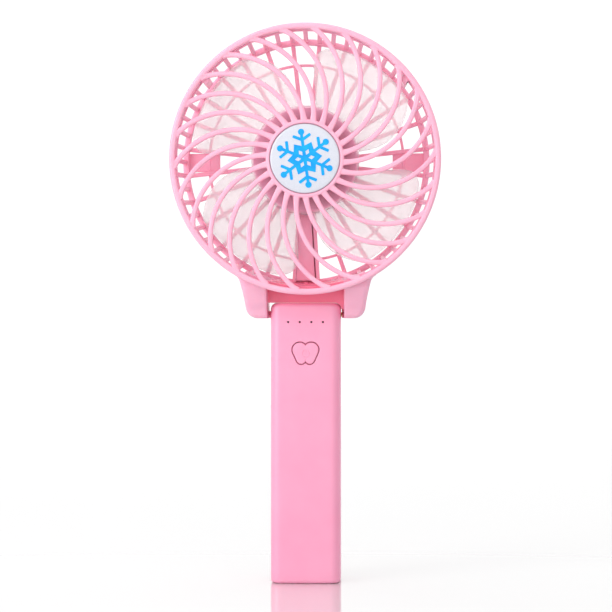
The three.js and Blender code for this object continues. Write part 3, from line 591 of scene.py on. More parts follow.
def spiral_rib():
    """One front rib: a rounded section along an arc, widening into the badge ring and the rim."""
    cx, cz = polar(RIB_ARC_OFFSET, RIB_ARC_ANGLE)
    toward_axis = math.degrees(math.atan2(-cz, -cx))
    start = toward_axis + rib_angle(BADGE_RING_OUTER - 0.7)
    end = toward_axis + rib_angle(RIM_INNER + 0.8)
    steps = 30
    loops = []
    front = HEAD_FRONT + 0.2
    for i in range(steps + 1):
        t = i / steps
        angle = math.radians(start + (end - start) * t)
        out = Vector((math.cos(angle), 0, math.sin(angle)))
        centre = Vector((cx, 0, HEAD_Z + cz)) + out * RIB_ARC_RADIUS
        root = 0.45 * math.exp(-t / 0.05) + 0.5 * math.exp(-(1 - t) / 0.04)
        half = RIB_WIDTH / 2 + root
        section = rounded(rectangle(-half, half, front, front + RIB_DEPTH), [0.62, 0.62, 0.35, 0.35], 4)
        loops.append([centre + out * s + Vector((0, y, 0)) for s, y in section])
    return loft("rib", loops)


def front_grille():
    """Rim, spiral ribs, the seat that holds the badge, and two snap tabs that reach back to the cage."""
    rim_rear = HEAD_FRONT + RIM_DEPTH
    rim_corners = [(RIM_INNER, HEAD_FRONT + 0.15), (RIM_OUTER, HEAD_FRONT)]
    rim_corners += [(RIM_OUTER, rim_rear), (RIM_INNER, rim_rear)]
    rim = turned("rim", rounded(rim_corners, [0.75, 1.25, 0.25, 0.25], 7), 312)
    inner, outer = BADGE_RING_INNER, BADGE_RING_OUTER
    seat_profile = [(0, 1.3), (inner, 1.3), (inner, 0.3), (inner + 0.1, 0.1), (inner + 0.35, 0)]
    seat_profile += [(outer - 0.6, 0), (outer - 0.2, 0.15), (outer, 0.5), (outer, 2.6), (0, 2.6)]
    seat = turned_disc("seat", [(radius, HEAD_FRONT + back) for radius, back in seat_profile], 208)
    tab_inner, tab_outer = REAR_RING_INNER + 1.4, RIM_INNER - 0.7
    profile = [(-3.3, tab_inner), (-3.3, tab_inner + 0.6), (-5.5, tab_outer), (rim_rear - 0.3, tab_outer),
               (rim_rear - 0.3, RIM_INNER + 0.8), (rim_rear - 2, RIM_INNER + 0.8), (rim_rear - 2, tab_inner)]
    edges = [0.2, 0.2, 0.3, 0.1, 0.1, 0.1, 0.1]
    half = TAB_WIDTH / 2
    right = [(half - 0.2, 0), (half - 0.06, 0.06), (half, 0.2)]
    loops = []
    for x, inset in [(-x, inset) for x, inset in reversed(right)] + right:
        outline = inset_outline(rounded(profile, edges, 3), inset)
        loops.append([(x, y, HEAD_Z + z) for y, z in outline])
    tabs = copy_spun(loft("tab", loops), [-TAB_ANGLE, TAB_ANGLE])
    ribs = copy_spun(spiral_rib(), evenly(RIB_COUNT))
    return join([rim, seat, merge("ribs", ribs)] + tabs)


finish_piece(front_grille(), "grille_moulding", "head", RIB_PINK, ["front_grille"])


# ---- badge ----

BADGE_TOP = HEAD_FRONT - 0.35


def badge_height(radius):
    """The badge's gently domed front face, as y at a radius."""
    return BADGE_TOP + 0.45 * (radius / BADGE_RADIUS) ** 2


def badge_disc():
    profile = [(0, BADGE_TOP)]
    steps = 14
    for i in range(1, steps + 1):
        radius = (BADGE_RADIUS - 0.45) * i / steps
        profile.append((radius, badge_height(radius)))
    edge = badge_height(BADGE_RADIUS - 0.45)
    profile += [(BADGE_RADIUS - 0.2, edge + 0.09), (BADGE_RADIUS - 0.05, edge + 0.24)]
    profile += [(BADGE_RADIUS, edge + 0.45), (BADGE_RADIUS, HEAD_FRONT + 1), (0, HEAD_FRONT + 1)]
    return turned_disc("badge", profile, 128)


def snowflake():
    """A six-armed snowflake print laid on the dome: a star with a forked, ball-tipped arm on each point."""
    thick = (HEAD_FRONT - 1.5, HEAD_FRONT + 1)
    half = 0.56
    star = []
    for k in range(12):
        x, z = polar(6.56 if k % 2 else 4.5, 30 * k)
        star.append((x, HEAD_Z + z))
    core = plate("star", rounded(star, 0.12, 2), *thick)
    arm = plate("arm", rounded(rectangle(-half, half, HEAD_Z, HEAD_Z + 10), 0.1, 2), *thick)
    ball = bar("ball", 1.18, (0, thick[0], HEAD_Z + 9.9), (0, thick[1], HEAD_Z + 9.9), 40)
    pieces = [arm, ball]
    for side in (-1, 1):
        tip = Vector(polar(9.0, 19 * side))
        root = Vector((0, 6.9))
        along = (tip - root).normalized()
        across = Vector((along.y, -along.x)) * half
        corners = [root - across, root + across, tip + across + along * 0.45, tip - across + along * 0.45]
        outline = rounded([(c.x, HEAD_Z + c.y) for c in corners], [0.02, 0.02, 0.4, 0.4], 6)
        pieces.append(plate("fork", outline, *thick))
    arms = []
    for piece in pieces:
        arms += copy_spun(piece, evenly(6))
    window = [(0, 1.35), (0.75, 2.5), (0, 3.7), (-0.75, 2.5)]
    window = rounded([(x, HEAD_Z + z) for x, z in window], 0.06, 3)
    panes = copy_spun(plate("pane", window, thick[0] - 1, thick[1] + 1), [30 + angle for angle in evenly(6)])
    whole = cut(join([core] + arms), panes)
    spin(whole, -8)
    shell = turned_disc("shell", [(0, BADGE_TOP - 0.1)] + [
        (r, badge_height(r) - 0.09) for r in (2, 4, 6, 8, 10, 11.6)] + [
        (r, badge_height(r) + 0.12) for r in (11.6, 8, 4)] + [(0, BADGE_TOP + 0.12)], 96)
    return boolean(whole, shell, "INTERSECT")


finish_piece(badge_disc(), "badge", "head", PEARL, ["badge_disc"], 50)
finish_piece(snowflake(), "snowflake_print", "head", BLUE, ["badge_snowflake"], 30)


# ---- rotor ----

def leading_lag(radius):
    """How far the leading edge stands behind BLADE_START, in degrees."""
    bulge = 36.6
    if radius < bulge:
        return 6.3 * ((bulge - radius) / (bulge - SKIRT_OUTER)) ** 1.5
    corner = (radius - bulge) / (BLADE_TIP - bulge)
    return 12 * (1 - math.sqrt(max(0.0, 1 - corner ** 2.6)))


def trailing_lead(radius):
    """The trailing edge, in degrees clockwise from BLADE_START."""
    return 77.5 - 22 * max(0.0, (radius - SKIRT_OUTER) / (BLADE_TIP - SKIRT_OUTER)) ** 2.2


def blade():
    """One twisted blade with thin rounded edges."""
    across, along = 36, 30
    root = (SKIRT_INNER + SKIRT_OUTER) / 2
    front, back = [], []
    for j in range(along + 1):
        share = 1 - (1 - j / along) ** 1.35
        radius = root + (BLADE_TIP - root) * share
        lag, lead = leading_lag(radius), trailing_lead(radius)
        for i in range(across + 1):
            t = 0.5 - 0.5 * math.cos(math.pi * i / across)
            x, z = polar(radius, BLADE_START + lag + (lead - lag) * t)
            middle = BLADE_REAR + (BLADE_FRONT - BLADE_REAR) * t + BLADE_THICKNESS / 2
            edge = min(1.0, math.sqrt(max(0.0, 1 - (2 * t - 1) ** 10)) + 0.12)
            tip = min(1.0, math.sqrt(max(0.0, 1 - share ** 16)) + 0.15)
            half = 0.5 * BLADE_THICKNESS * edge * tip * (1 - 0.25 * share)
            front.append((x, middle - half, HEAD_Z + z))
            back.append((x, middle + half, HEAD_Z + z))
    row = across + 1
    size = len(front)
    verts = front + back
    faces = []
    for j in range(along):
        for i in range(across):
            a = j * row + i
            faces.append((a, a + 1, a + row + 1, a + row))
            faces.append((size + a, size + a + row, size + a + row + 1, size + a + 1))
        left, right = j * row, j * row + across
        faces.append((left, left + row, size + left + row, size + left))
        faces.append((right, size + right, size + right + row, right + row))
    for i in range(across):
        a, b = i, along * row + i
        faces.append((a, size + a, size + a + 1, a + 1))
        faces.append((b, b + 1, size + b + 1, size + b))
    return new_object("blade", verts, faces)


def rotor():
    """A cup-shaped hub with a boss for the shaft, and the blades around its skirt."""
    disc = ROTOR_FRONT + 1.2
    skirt_rear = BLADE_REAR + BLADE_THICKNESS
    face = [(radius, ROTOR_FRONT) for radius in (0, 4, 9, 14)]
    crown = arc((SKIRT_OUTER - 1.6, ROTOR_FRONT + 1.6), 1.6, -90, 0, 8)
    lip = [(SKIRT_OUTER, skirt_rear - 0.2), (SKIRT_OUTER - 0.2, skirt_rear), (SKIRT_INNER + 0.2, skirt_rear),
           (SKIRT_INNER, skirt_rear - 0.2)]
    inside = [(SKIRT_INNER, disc + 0.8), (SKIRT_INNER - 0.25, disc + 0.25), (SKIRT_INNER - 0.8, disc)]
    boss = [(2.9, disc), (2.6, disc + 0.3), (2.6, disc + 1.4), (1.05, disc + 1.4), (1.05, ROTOR_FRONT + 0.6),
            (0, ROTOR_FRONT + 0.6)]
    hub = turned_disc("hub", face + crown + lip + inside + boss, 144)
    return join([hub] + copy_spun(blade(), evenly(BLADE_COUNT)))


finish_piece(rotor(), "frosted_rotor", "rotor", FROSTED, ["rotor"], 40)


# ---- rear cover ----

def arm_half(radius, inset):
    slope = (ARM_HALF_AT_RING - ARM_HALF_AT_CUP) / (REAR_RING_INNER - CUP_RADIUS)
    return ARM_HALF_AT_CUP + slope * (radius - CUP_RADIUS) - inset


def arm_outline(top, bottom, inset=0.0, left=0.0, right=0.0):
    """The wire arm's tapering outline between two radii, drawn in by inset and further on each side."""
    upper, lower = arm_half(top, inset), arm_half(bottom, inset)
    return [(-upper + left, HEAD_Z - top), (upper - right, HEAD_Z - top),
            (lower - right, HEAD_Z - bottom), (-lower + left, HEAD_Z - bottom)]


def smooth_step(t):
    t = min(1.0, max(0.0, t))
    return t * t * (3 - 2 * t)


def ear_flank(z):
    """Outer x of the ear's side at a height, and how fast it spreads there."""
    span = FLANK_TOP - FLANK_BOTTOM
    rise = max(0.0, z - FLANK_BOTTOM) / span
    spread = FLANK_SPREAD * rise ** FLANK_POWER
    slope = FLANK_SPREAD * FLANK_POWER * rise ** (FLANK_POWER - 1) / span
    return EAR_OUTER + spread, slope


def ear_fillet():
    """Centre of the rounding that touches the flank and the outside of the rim, with its start and end."""
    low, high = FLANK_BOTTOM, FLANK_TOP + 4
    for _ in range(50):
        start = (low + high) / 2
        side, slope = ear_flank(start)
        length = math.hypot(1, slope)
        centre_x = side + EAR_FILLET / length
        centre_z = start - EAR_FILLET * slope / length
        if math.hypot(centre_x, HEAD_Z - centre_z) > RIM_OUTER + EAR_FILLET:
            low = start
        else:
            high = start
    end = HEAD_Z - (HEAD_Z - centre_z) * RIM_OUTER / (RIM_OUTER + EAR_FILLET)
    return centre_x, centre_z, start, end


FILLET_X, FILLET_Z, FILLET_START, FILLET_END = ear_fillet()


def ear_section(z):
    """The ear at a height: outer x, front y and rear y."""
    outer = ear_flank(z)[0]
    if z > FILLET_START:
        outer = FILLET_X - math.sqrt(max(0.0, EAR_FILLET ** 2 - (z - FILLET_Z) ** 2))
    if z > FILLET_END:
        outer = math.sqrt(EAR_HIDDEN ** 2 - (HEAD_Z - z) ** 2)
    outer -= round_off(EAR_FOOT, EAR_BOTTOM + EAR_FOOT - z)
    heel = round_off(EAR_HEEL, EAR_BOTTOM + EAR_HEEL - z)
    front = EAR_FRONT + 0.6 * heel
    for depth, start, rise in EAR_STEPS:
        front -= depth * smooth_step((z - start) / rise)
    rear = EAR_REAR - heel
    if z > EAR_LEAN_START:
        rear -= (EAR_REAR - HEAD_REAR) * (z - EAR_LEAN_START) / (EAR_LEAN_END - EAR_LEAN_START)
    return outer, front, max(rear, HEAD_REAR)


def ear(side):
    """One hinge ear, lofted upwards from its rounded foot to the cage wall."""
    levels = [EAR_BOTTOM + d for d in (0, 0.05, 0.16, 0.36, 0.62, 0.95, 1.4, 1.9, 2.5, 3.4)]
    levels += [z for z in (104.6 + 1.0 * k for k in range(10)) if z < FILLET_START - 0.3]
    levels += [FILLET_START + (FILLET_END - FILLET_START) * (1 - (1 - k / 12) ** 1.6) for k in range(13)]
    levels.append(FILLET_END + 0.3)
    loops = []
    for z in levels:
        outer, front, rear = ear_section(z)
        soft = min(2.2, 0.45 * (outer - EAR_INNER))
        section = rounded(rectangle(EAR_INNER, outer, front, rear), [0.9, soft, soft, 0.9], 6)
        loops.append([(side * x, y, z) for x, y in section])
    return loft("ear", loops)


def wall_bar():
    """One side bar of the cage, from the front flange in to the rear ring."""
    half = WALL_BAR_WIDTH / 2
    start, end = HEAD_FRONT + RIM_DEPTH + 1, -0.5
    loops = []
    for t in (0, 0.25, 0.5, 0.75, 1):
        y = start + (end - start) * t
        outer = BAR_OUTER + (REAR_RING_OUTER - 0.3 - BAR_OUTER) * t
        inner = BAR_INNER + (BAR_TAIL - BAR_INNER) * t
        section = rounded(rectangle(-half, half, inner, outer), 0.35, 3)
        loops.append([(x, y, HEAD_Z + z) for x, z in section])
    return loft("bar", loops)


def ring(name, inner, outer, y0, y1, soft):
    return turned(name, rounded(rectangle(inner, outer, y0, y1), soft, 4))


def lead_path():
    """The lead's way down the arm and through the right ear, ending on the hinge axis."""
    run = -0.75
    points = [(1.2, run, -16.4), (1.7, run, -24), (2.6, run, -38), (3.2, run, -45.8), (5, run, -49.3)]
    points += [(10, run + 0.3, -51.4), (15.6, 0.6, -52.4), (18.4, 2.6, -54), (19.2, 5, -56.6)]
    hinge = HINGE_Z - HEAD_Z
    points += [(18.2, HINGE_Y, hinge), (16.6, HINGE_Y, hinge), (13.4, HINGE_Y, hinge)]
    return [Vector((x, y, HEAD_Z + z)) for x, y, z in points]


def smooth_path(points, steps):
    """A Catmull-Rom curve through the points."""
    result = []
    for i in range(len(points) - 1):
        a, b = points[max(i - 1, 0)], points[i]
        c, d = points[i + 1], points[min(i + 2, len(points) - 1)]
        for k in range(steps):
            t = k / steps
            result.append(0.5 * (2 * b + (c - a) * t + (2 * a - 5 * b + 4 * c - d) * t * t
                                 + (3 * b - a - 3 * c + d) * t * t * t))
    return result + [points[-1]]


def tube(name, points, radius, sides=14):
    turns = [2 * math.pi * k / sides for k in range(sides)]
    section = [(radius * math.cos(turn), radius * math.sin(turn)) for turn in turns]
    ups = []
    up = Vector((0, 1, 0))
    for i in range(len(points)):
        tangent = (points[min(i + 1, len(points) - 1)] - points[max(i - 1, 0)]).normalized()
        up = (up - tangent * up.dot(tangent)).normalized()
        ups.append(up.copy())
    return sweep(name, points, section, ups)


def rear_cover():
    """The whole rear moulding: flange, side bars, rear rings and ribs, motor cup, wire arm, neck and ears."""
    flange_front = HEAD_FRONT + RIM_DEPTH + GAP
    flange = ring("flange", RIM_INNER - 0.4, RIM_OUTER - 0.3, flange_front, flange_front + 2, 0.35)
    rear_ring = ring("rear_ring", REAR_RING_INNER, REAR_RING_OUTER, -1.8, HEAD_REAR, 0.5)
    thin_ring = ring("thin_ring", THIN_RING_RADIUS - 0.5, THIN_RING_RADIUS + 0.5, 0, HEAD_REAR - 0.1, 0.25)
    tab_bars = (TAB_BAR, WALL_BAR_COUNT - TAB_BAR)
    bar_angles = [angle for k, angle in enumerate(evenly(WALL_BAR_COUNT)) if k not in tab_bars]
    bars = merge("bars", copy_spun(wall_bar(), bar_angles))

    pitch = 360 / REAR_RIB_COUNT
    half = REAR_RIB_WIDTH / 2
    section = rounded(rectangle(-half, half, -0.6, HEAD_REAR), 0.4, 4)
    spans = [CUP_RADIUS - 1 + (REAR_RING_INNER + 2 - CUP_RADIUS) * k / 6 for k in range(7)]
    rib = loft("rear_rib", [[(x, y, HEAD_Z + r) for x, y in section] for r in spans])
    rib_angles = [(k + 0.5) * pitch for k in range(REAR_RIB_COUNT) if abs((k + 0.5) * pitch - 180) > pitch]
    ribs = merge("rear_ribs", copy_spun(rib, rib_angles))
    pad = box("pad", -3.5, 3.5, 0.2, HEAD_REAR, HEAD_Z + 33, HEAD_Z + REAR_RING_INNER + 1, 0.3)
    pads = copy_spun(pad, [90, 270])

    bore, soft = CUP_RADIUS - CUP_WALL, 1.5
    profile = [(0, -0.4), (bore - 0.6, -0.4), (bore, -1.0), (bore, CUP_FRONT + 0.3), (bore + 0.3, CUP_FRONT)]
    profile += [(CUP_RADIUS - 0.5, CUP_FRONT), (CUP_RADIUS, CUP_FRONT + 0.5)]
    profile += arc((CUP_RADIUS - soft, HEAD_REAR - soft), soft, 0, 90, 8)
    groove = [(14, 0), (13.4, 0), (13.2, 0.25), (12.8, 0.25), (12.6, 0), (0, 0)]
    cup = turned_disc("cup", profile + [(radius, HEAD_REAR - sink) for radius, sink in groove], 168)
    top = CUP_RADIUS - 1
    arm = plate("arm", arm_outline(top, REAR_RING_INNER + 1), ARM_FRONT, HEAD_REAR, edge=0.3)
    channel = plate("channel", arm_outline(top - 2, REAR_RING_INNER + 0.8, ARM_WALL), -5, -0.1)

    corner = (HANDLE_WIDTH / 2 - TOP_RADIUS, HANDLE_HEIGHT - TOP_RADIUS)
    neck_outline = [(-EAR_INNER - 1, NECK_BOTTOM)] + arc(corner, TOP_RADIUS + NECK_GAP, 90, 0, 10)
    neck_outline.append((EAR_INNER + 1, corner[1]))
    neck_outline += [(x, HEAD_Z + z) for x, z in arc((0, 0), REAR_RING_INNER + 0.9, -71, -109, 24)]
    neck = plate("neck", neck_outline, -9, HEAD_REAR)
    apron_outline = arc((0, 0), RIM_OUTER - 0.5, -62, -118, 48) + arc((0, 0), 47, -118, -62, 48)
    apron = plate("apron", [(x, HEAD_Z + z) for x, z in apron_outline], flange_front, -1, edge=0.2)
    inner_space = turned_disc("space", [(0, -19), (47.7, -19), (47.5, -18), (46, -1.8), (0, -1.8)], 224)
    lower = join([neck, apron, ear(-1), ear(1)])
    cut(lower, [inner_space])

    axis = (HINGE_Y, HINGE_Z)
    boss_end = EAR_INNER + 0.5
    bosses = [bar("boss", BOSS_RADIUS, (s * BOSS_REACH, *axis), (s * boss_end, *axis), 40) for s in (-1, 1)]
    shroud_outline = rounded(rectangle(BOSS_REACH, boss_end, 102.6, NECK_BOTTOM + 1), [0.3, 0, 0, 0], 3)
    shroud = plate("shroud", shroud_outline, -4, HINGE_Y + 3.4, edge=0.2)
    holes = [bar("hole", PIN_HOLE, (start, *axis), (end, *axis))
             for start, end in ((-20.4, -BOSS_REACH + 1), (BOSS_REACH - 1, 17.9))]
    lead_way = tube("way", smooth_path(lead_path(), 6), LEAD_RADIUS + GAP, 10)
    whole = join([rear_ring, flange, bars, ribs, thin_ring] + pads + [cup, arm, lower] + bosses + [shroud])
    return cut(whole, [channel, lead_way] + holes)


def channel_cover():
    """The strip over the wire channel, with a slot left open down its right side."""
    outline = arm_outline(CUP_RADIUS + 0.6, REAR_RING_INNER + 0.4, ARM_WALL, left=0.08, right=SLOT_WIDTH)
    return plate("strip", outline, ARM_FRONT, -1.45, edge=0.12)


finish_piece(rear_cover(), "cage_moulding", "head", CAGE_PINK_WITH_PAINTED_SHADE, ["rear_cover"])
finish_piece(channel_cover(), "channel_strip", "head", CAGE_PINK_WITH_PAINTED_SHADE, ["channel_cover"])
head_lead = tube("lead", smooth_path(lead_path(), 8), LEAD_RADIUS)
finish_piece(head_lead, "motor_lead", "head", BLACK, ["head_lead"])


# ---- handle ----

def handle_levels(inset, steps):
    """Heights at which the handle is sectioned, close together where its ends are rounded."""
    low, high = inset, HANDLE_HEIGHT - inset
    levels = []
    for i in range(steps + 1):
        levels.append(low + BASE_RADIUS * (1 - math.cos(math.pi / 2 * i / steps)))
    levels += [4, 10, 30, 60, 80, 95, HINGE_Z - 0.6]
    top = high - (HINGE_Z - 0.2)
    for i in range(3 * steps + 1):
        levels.append(HINGE_Z - 0.2 + top * math.sin(math.pi / 2 * i / (3 * steps)))
    return levels


def handle_section(z, inset):
    """The handle's rounded outline at a height, as (x, y) points."""
    half_depth, high = HANDLE_DEPTH / 2 - inset, HANDLE_HEIGHT - inset
    top_radius, base_radius, hinge = TOP_RADIUS - 0.5 * inset, BASE_RADIUS - 0.3 * inset, HINGE_RADIUS - inset
    foot = round_off(base_radius, inset + base_radius - z)
    side = round_off(top_radius, z - (high - top_radius)) + foot
    front = -half_depth + (round_off(FRONT_TOP_RADIUS, z - (high - FRONT_TOP_RADIUS)) + foot)
    rear = half_depth - (round_off(hinge, z - (high - hinge)) + foot)
    width = HANDLE_WIDTH / 2 - inset - side
    return rounded(rectangle(-width, width, front, rear), max(1.2, HANDLE_CORNER - inset - 0.5 * side), 10)


def handle_solid(name, inset, steps=6):
    return loft(name, [[(x, y, z) for x, y in handle_section(z, inset)] for z in handle_levels(inset, steps)])


def slab(name, y0, y1):
    """A block wider and taller than the handle, between two depths."""
    return box(name, -BEYOND, BEYOND, y0, y1, -10, 120)


def seam_groove():
    """A shallow groove that runs round the handle where its shells meet."""
    groove = cut(handle_solid("outer", -0.5), [handle_solid("inner", GROOVE_DEPTH)])
    return boolean(groove, slab("slab", SPLIT_Y - GROOVE_HALF, SPLIT_Y + GROOVE_HALF), "INTERSECT")


def fruit_outline(margin):
    """The button's outline: an upper and a lower lobe on each side, grown by margin."""
    steps = 14
    (ux, uz, ur), (lx, lz, lr) = UPPER_LOBE, LOWER_LOBE
    flank = math.degrees(math.atan2(lz - uz, lx - ux) + math.acos((ur - lr) / math.hypot(lx - ux, lz - uz)))
    top = math.degrees(math.acos(-ux / (ur + margin)))
    foot = -math.degrees(math.acos(-lx / (lr + margin)))
    right = arc((ux, uz), ur + margin, top, flank, 2 * steps) + arc((lx, lz), lr + margin, flank, foot, steps)
    left = [(-x, z) for x, z in reversed(right[1:-1])]
    return [(x, BUTTON_Z + z) for x, z in right + left]


def fruit_loops(rows):
    """Solid from rows of (margin, y) or (margin, y, scale) of the fruit outline.

    The lower lobes part when the margin is below -0.38, so rows further in are scaled about the middle.
    """
    loops = []
    for margin, y, *rest in rows:
        scale = rest[0] if rest else 1.0
        loops.append([(x * scale, y, BUTTON_Z + (z - BUTTON_Z) * scale) for x, z in fruit_outline(margin)])
    return loft("fruit", loops)


def led_places():
    return [(k - 1.5) * LED_PITCH for k in range(4)]


FACE_Y = -HANDLE_DEPTH / 2


def shell_front():
    """The front shell, with the button's opening, four lamp pinholes and its half of the socket's mouth."""
    shell = cut(handle_solid("front", 0), [handle_solid("hollow", HANDLE_WALL, 3)])
    shell = boolean(shell, slab("half", -BEYOND, SPLIT_Y - SEAM_HALF), "INTERSECT")
    opening_rows = [(0.75, -0.5), (0.4, -0.02), (0.22, 0.1), (0.15, 0.3), (0.15, 3)]
    opening = fruit_loops([(margin, FACE_Y + back) for margin, back in opening_rows])
    pinhole = [(-LED_HOLE, -0.5), (0.12, -0.5), (0.1, 0), (0, 0.12), (0, 3), (-LED_HOLE, 3)]
    pinhole = [(LED_HOLE + wider, FACE_Y + back) for wider, back in pinhole]
    holes = [turned_disc("pinhole", pinhole, 20, (x, LED_Z)) for x in led_places()]
    half = 4.75
    mouth_z = rounded(rectangle(BOARD_Y + 0.1, BOARD_Y + 3.8, SOCKET_Z - half, SOCKET_Z + half), 1.75, 8)
    mouth = loft("mouth", [[(x, y, z) for y, z in inset_outline(mouth_z, -grow)]
                           for x, grow in [(10, 0), (12.55, 0), (12.7, 0.06), (12.86, 0.3), (13.4, 0.6)]])
    return cut(shell, [opening, merge("holes", holes), mouth, seam_groove()])


def shell_rear():
    """The rear shell, with four screw posts and their wells and the hinge pin's hole."""
    shell = cut(handle_solid("rear", 0), [handle_solid("hollow", HANDLE_WALL, 3)])
    shell = boolean(shell, slab("half", SPLIT_Y + SEAM_HALF, BEYOND), "INTERSECT")
    face = HANDLE_DEPTH / 2
    well = [(0, 0), (1.2, 0), (1.2, face - 2.6), (1.95, face - 2.6), (1.95, face - 0.25), (2.05, face - 0.1),
            (2.3, face + 0.02), (2.6, face + 0.6), (0, face + 0.6)]
    wells = [turned_disc("well", well, 40, place) for place in SCREW_PLACES]
    posts = [bar("post", 2.3, (x, SPLIT_Y + 0.3, z), (x, face - 1.5, z), 28) for x, z in SCREW_PLACES]
    inside = handle_solid("inside", HANDLE_WALL - 0.5, 3)
    posts = boolean(merge("posts", posts), inside, "INTERSECT")
    pin_hole = bar("pin_hole", PIN_HOLE, (-14, HINGE_Y, HINGE_Z), (14, HINGE_Y, HINGE_Z))
    return cut(join([shell, posts]), [merge("wells", wells), pin_hole, seam_groove()])


finish_piece(shell_front(), "handle_shell_front", "handle", PINK, ["handle_front"], 30)
finish_piece(shell_rear(), "handle_shell_rear", "handle", PINK, ["handle_rear"], 30)


# ---- button ----

def button():
    """The fruit-shaped cap with a soft edge and a faint raised power mark."""
    top = FACE_Y - 0.32
    inner = FACE_Y + HANDLE_WALL
    dome_rows = ((-0.04, 0.3), (-0.03, 0.65), (0, 0.88), (0.05, 0.95))
    dome = [(-0.36, top + back, scale) for back, scale in dome_rows]
    edge = [(-0.34, top + 0.14), (-0.22, top + 0.3), (-0.15, top + 0.55)]
    flange = [(-0.15, inner + 0.3), (0.75, inner + 0.3), (0.9, inner + 0.45), (0.9, inner + 1)]
    cap = fruit_loops(dome + edge + flange)
    section = rounded(rectangle(-0.17, 0.17, -0.14, 0.2), 0.07, 3)
    circle = [(x, top - 0.03, z) for x, z in arc((0, BUTTON_Z - 0.1), 1.35, 125, 415, 40)]
    stem = [(0, top - 0.03, BUTTON_Z + 0.35 + 0.2 * k) for k in range(7)]
    return join([cap] + [sweep("mark", path, section, (0, 1, 0)) for path in (circle, stem)])


finish_piece(button(), "power_button", "button", PINK, ["button"], 30)


# ---- screws and the CAD nodes that stay ----

def screw(x, z):
    """A pan-head screw with a cross recess, its head looking to +Y."""
    head, radius = HANDLE_DEPTH / 2 - SCREW_SUNK, SCREW_HEAD
    rows = [(0, 0), (radius * 0.5, 0.02), (radius * 0.8, 0.12), (radius * 0.95, 0.35), (radius, 0.7),
            (radius, 1.3), (SCREW_SHANK, 1.3), (SCREW_SHANK, 6), (0, 6)]
    body = turned_disc("screw", [(r, head - depth) for r, depth in rows], 40, (x, z))
    long, narrow = radius * 0.55, radius * 0.13
    slots = [box("slot", x - across, x + across, head - 0.6, head + 1, z - up, z + up)
             for across, up in ((long, narrow), (narrow, long))]
    return cut(body, slots)


for k, place in enumerate(SCREW_PLACES, 1):
    finish_piece(screw(*place), f"case_screw_{k}", "handle", STEEL, [f"handle_screw_{k}"])

NODES_BY_MATERIAL = [
    (STEEL, ["motor_can", "motor_shaft", "hinge_pin_left", "battery_spring", "contact_plate_low",
             "contact_plate_high", "charge_socket", "friction_spring"]),
    (STEEL, [f"retainer_screw_{k}" for k in (1, 2, 3)]),
    # lamps near black: dark when off, and painted shade for the pinholes in front of them
    (SMOKED_LAMP_AND_SHADE, [f"led_{k}" for k in (1, 2, 3, 4)]),
    (BLACK, ["charge_tongue", "inductor", "charge_chip", "switch_body", "handle_lead"]),
    (NYLON, ["motor_end_cap", "switch_plunger"]),
    (CAGE_PINK_WITH_PAINTED_SHADE, ["motor_retainer"]),
    (BRASS, ["hinge_sleeve_right"]),
    (WRAP, ["battery_cell"]),
    (BOARD, ["circuit_board"]),
]
for material, names in NODES_BY_MATERIAL:
    for name in names:
        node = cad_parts[name]
        node.data.materials.clear()
        node.data.materials.append(material)


# ---- stage, lights and camera ----

def stage_sheet(name, corners, material):
    """A flat stage piece through four corners given in metres."""
    sheet = new_object(name, [tuple(value / MM for value in corner) for corner in corners], [(0, 1, 2, 3)])
    sheet.data.materials.append(material)


def glossy_floor():
    """Polished white acrylic: it mirrors what stands on it, most strongly at a low angle."""
    material, _, shader, _ = tinted_material("floor_white", 3, 2, (0.70,) * 3, (0.72,) * 3)
    set_sockets(shader, {"Roughness": 0.06, "IOR": 1.6, "Coat Weight": 0.7, "Coat Roughness": 0.03})
    return material


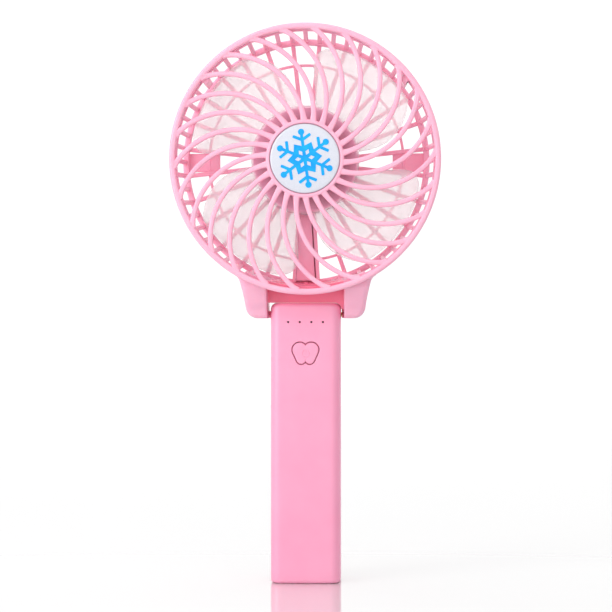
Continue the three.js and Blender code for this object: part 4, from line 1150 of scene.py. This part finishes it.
def lit_backdrop():
    """A white backdrop lit evenly from its own lamps."""
    material, _, shader, _ = tinted_material("backdrop_white", 3, 2, (0.10,) * 3, (0.12,) * 3)
    set_sockets(shader, {"Roughness": 1.0, "Specular IOR Level": 0.0, "Emission Color": (1, 1, 1, 1),
                         "Emission Strength": 1.0})
    return material


def stage():
    """A polished floor in front of a plain white backdrop."""
    half, front, back, height = 2.5, -2.0, 1.3, 2.2
    floor = [(-half, front, 0), (half, front, 0), (half, back, 0), (-half, back, 0)]
    wall = [(-half, back, 0), (half, back, 0), (half, back, height), (-half, back, height)]
    stage_sheet("studio_floor", floor, glossy_floor())
    stage_sheet("studio_backdrop", wall, lit_backdrop())


def area_light(name, place, target, size, power):
    data = bpy.data.lights.new(name, "AREA")
    data.shape = "RECTANGLE"
    data.size, data.size_y = size
    data.energy = power
    light = bpy.data.objects.new(name, data)
    light.location = place
    light.rotation_euler = (Vector(target) - Vector(place)).to_track_quat("-Z", "Y").to_euler()
    bpy.context.scene.collection.objects.link(light)


def lights():
    middle = (0, 0, 0.11)
    area_light("key_left", (-0.55, -0.45, 0.32), middle, (0.35, 0.7), 2.9)
    area_light("fill_front", (0.12, -0.95, 0.35), middle, (0.7, 0.7), 1.0)
    area_light("top", (0, -0.1, 0.95), middle, (0.8, 0.8), 1.3)
    world = bpy.data.worlds.new("studio")
    world.use_nodes = True
    background = world.node_tree.nodes["Background"]
    background.inputs["Color"].default_value = (1, 1, 1, 1)
    background.inputs["Strength"].default_value = 0.82
    bpy.context.scene.world = world


def camera():
    """Level with the top of the handle, a little to the fan's right."""
    azimuth, distance, height = math.radians(1.5), 0.72, 0.10475
    view_width, aside = 0.2273, 0.00045
    data = bpy.data.cameras.new("camera")
    data.sensor_width = 36
    data.lens = 36 * distance / view_width
    data.clip_start = 0.01
    obj = bpy.data.objects.new("camera", data)
    target = Vector((aside, HEAD_FRONT * MM, height))
    away = Vector((math.sin(azimuth), -math.cos(azimuth), 0))
    obj.location = target + away * distance
    obj.rotation_euler = (-away).to_track_quat("-Z", "Y").to_euler()
    bpy.context.scene.collection.objects.link(obj)
    bpy.context.scene.camera = obj


stage()
lights()
camera()
bpy.context.scene.view_settings.view_transform = "Standard"

bpy.context.view_layer.update()
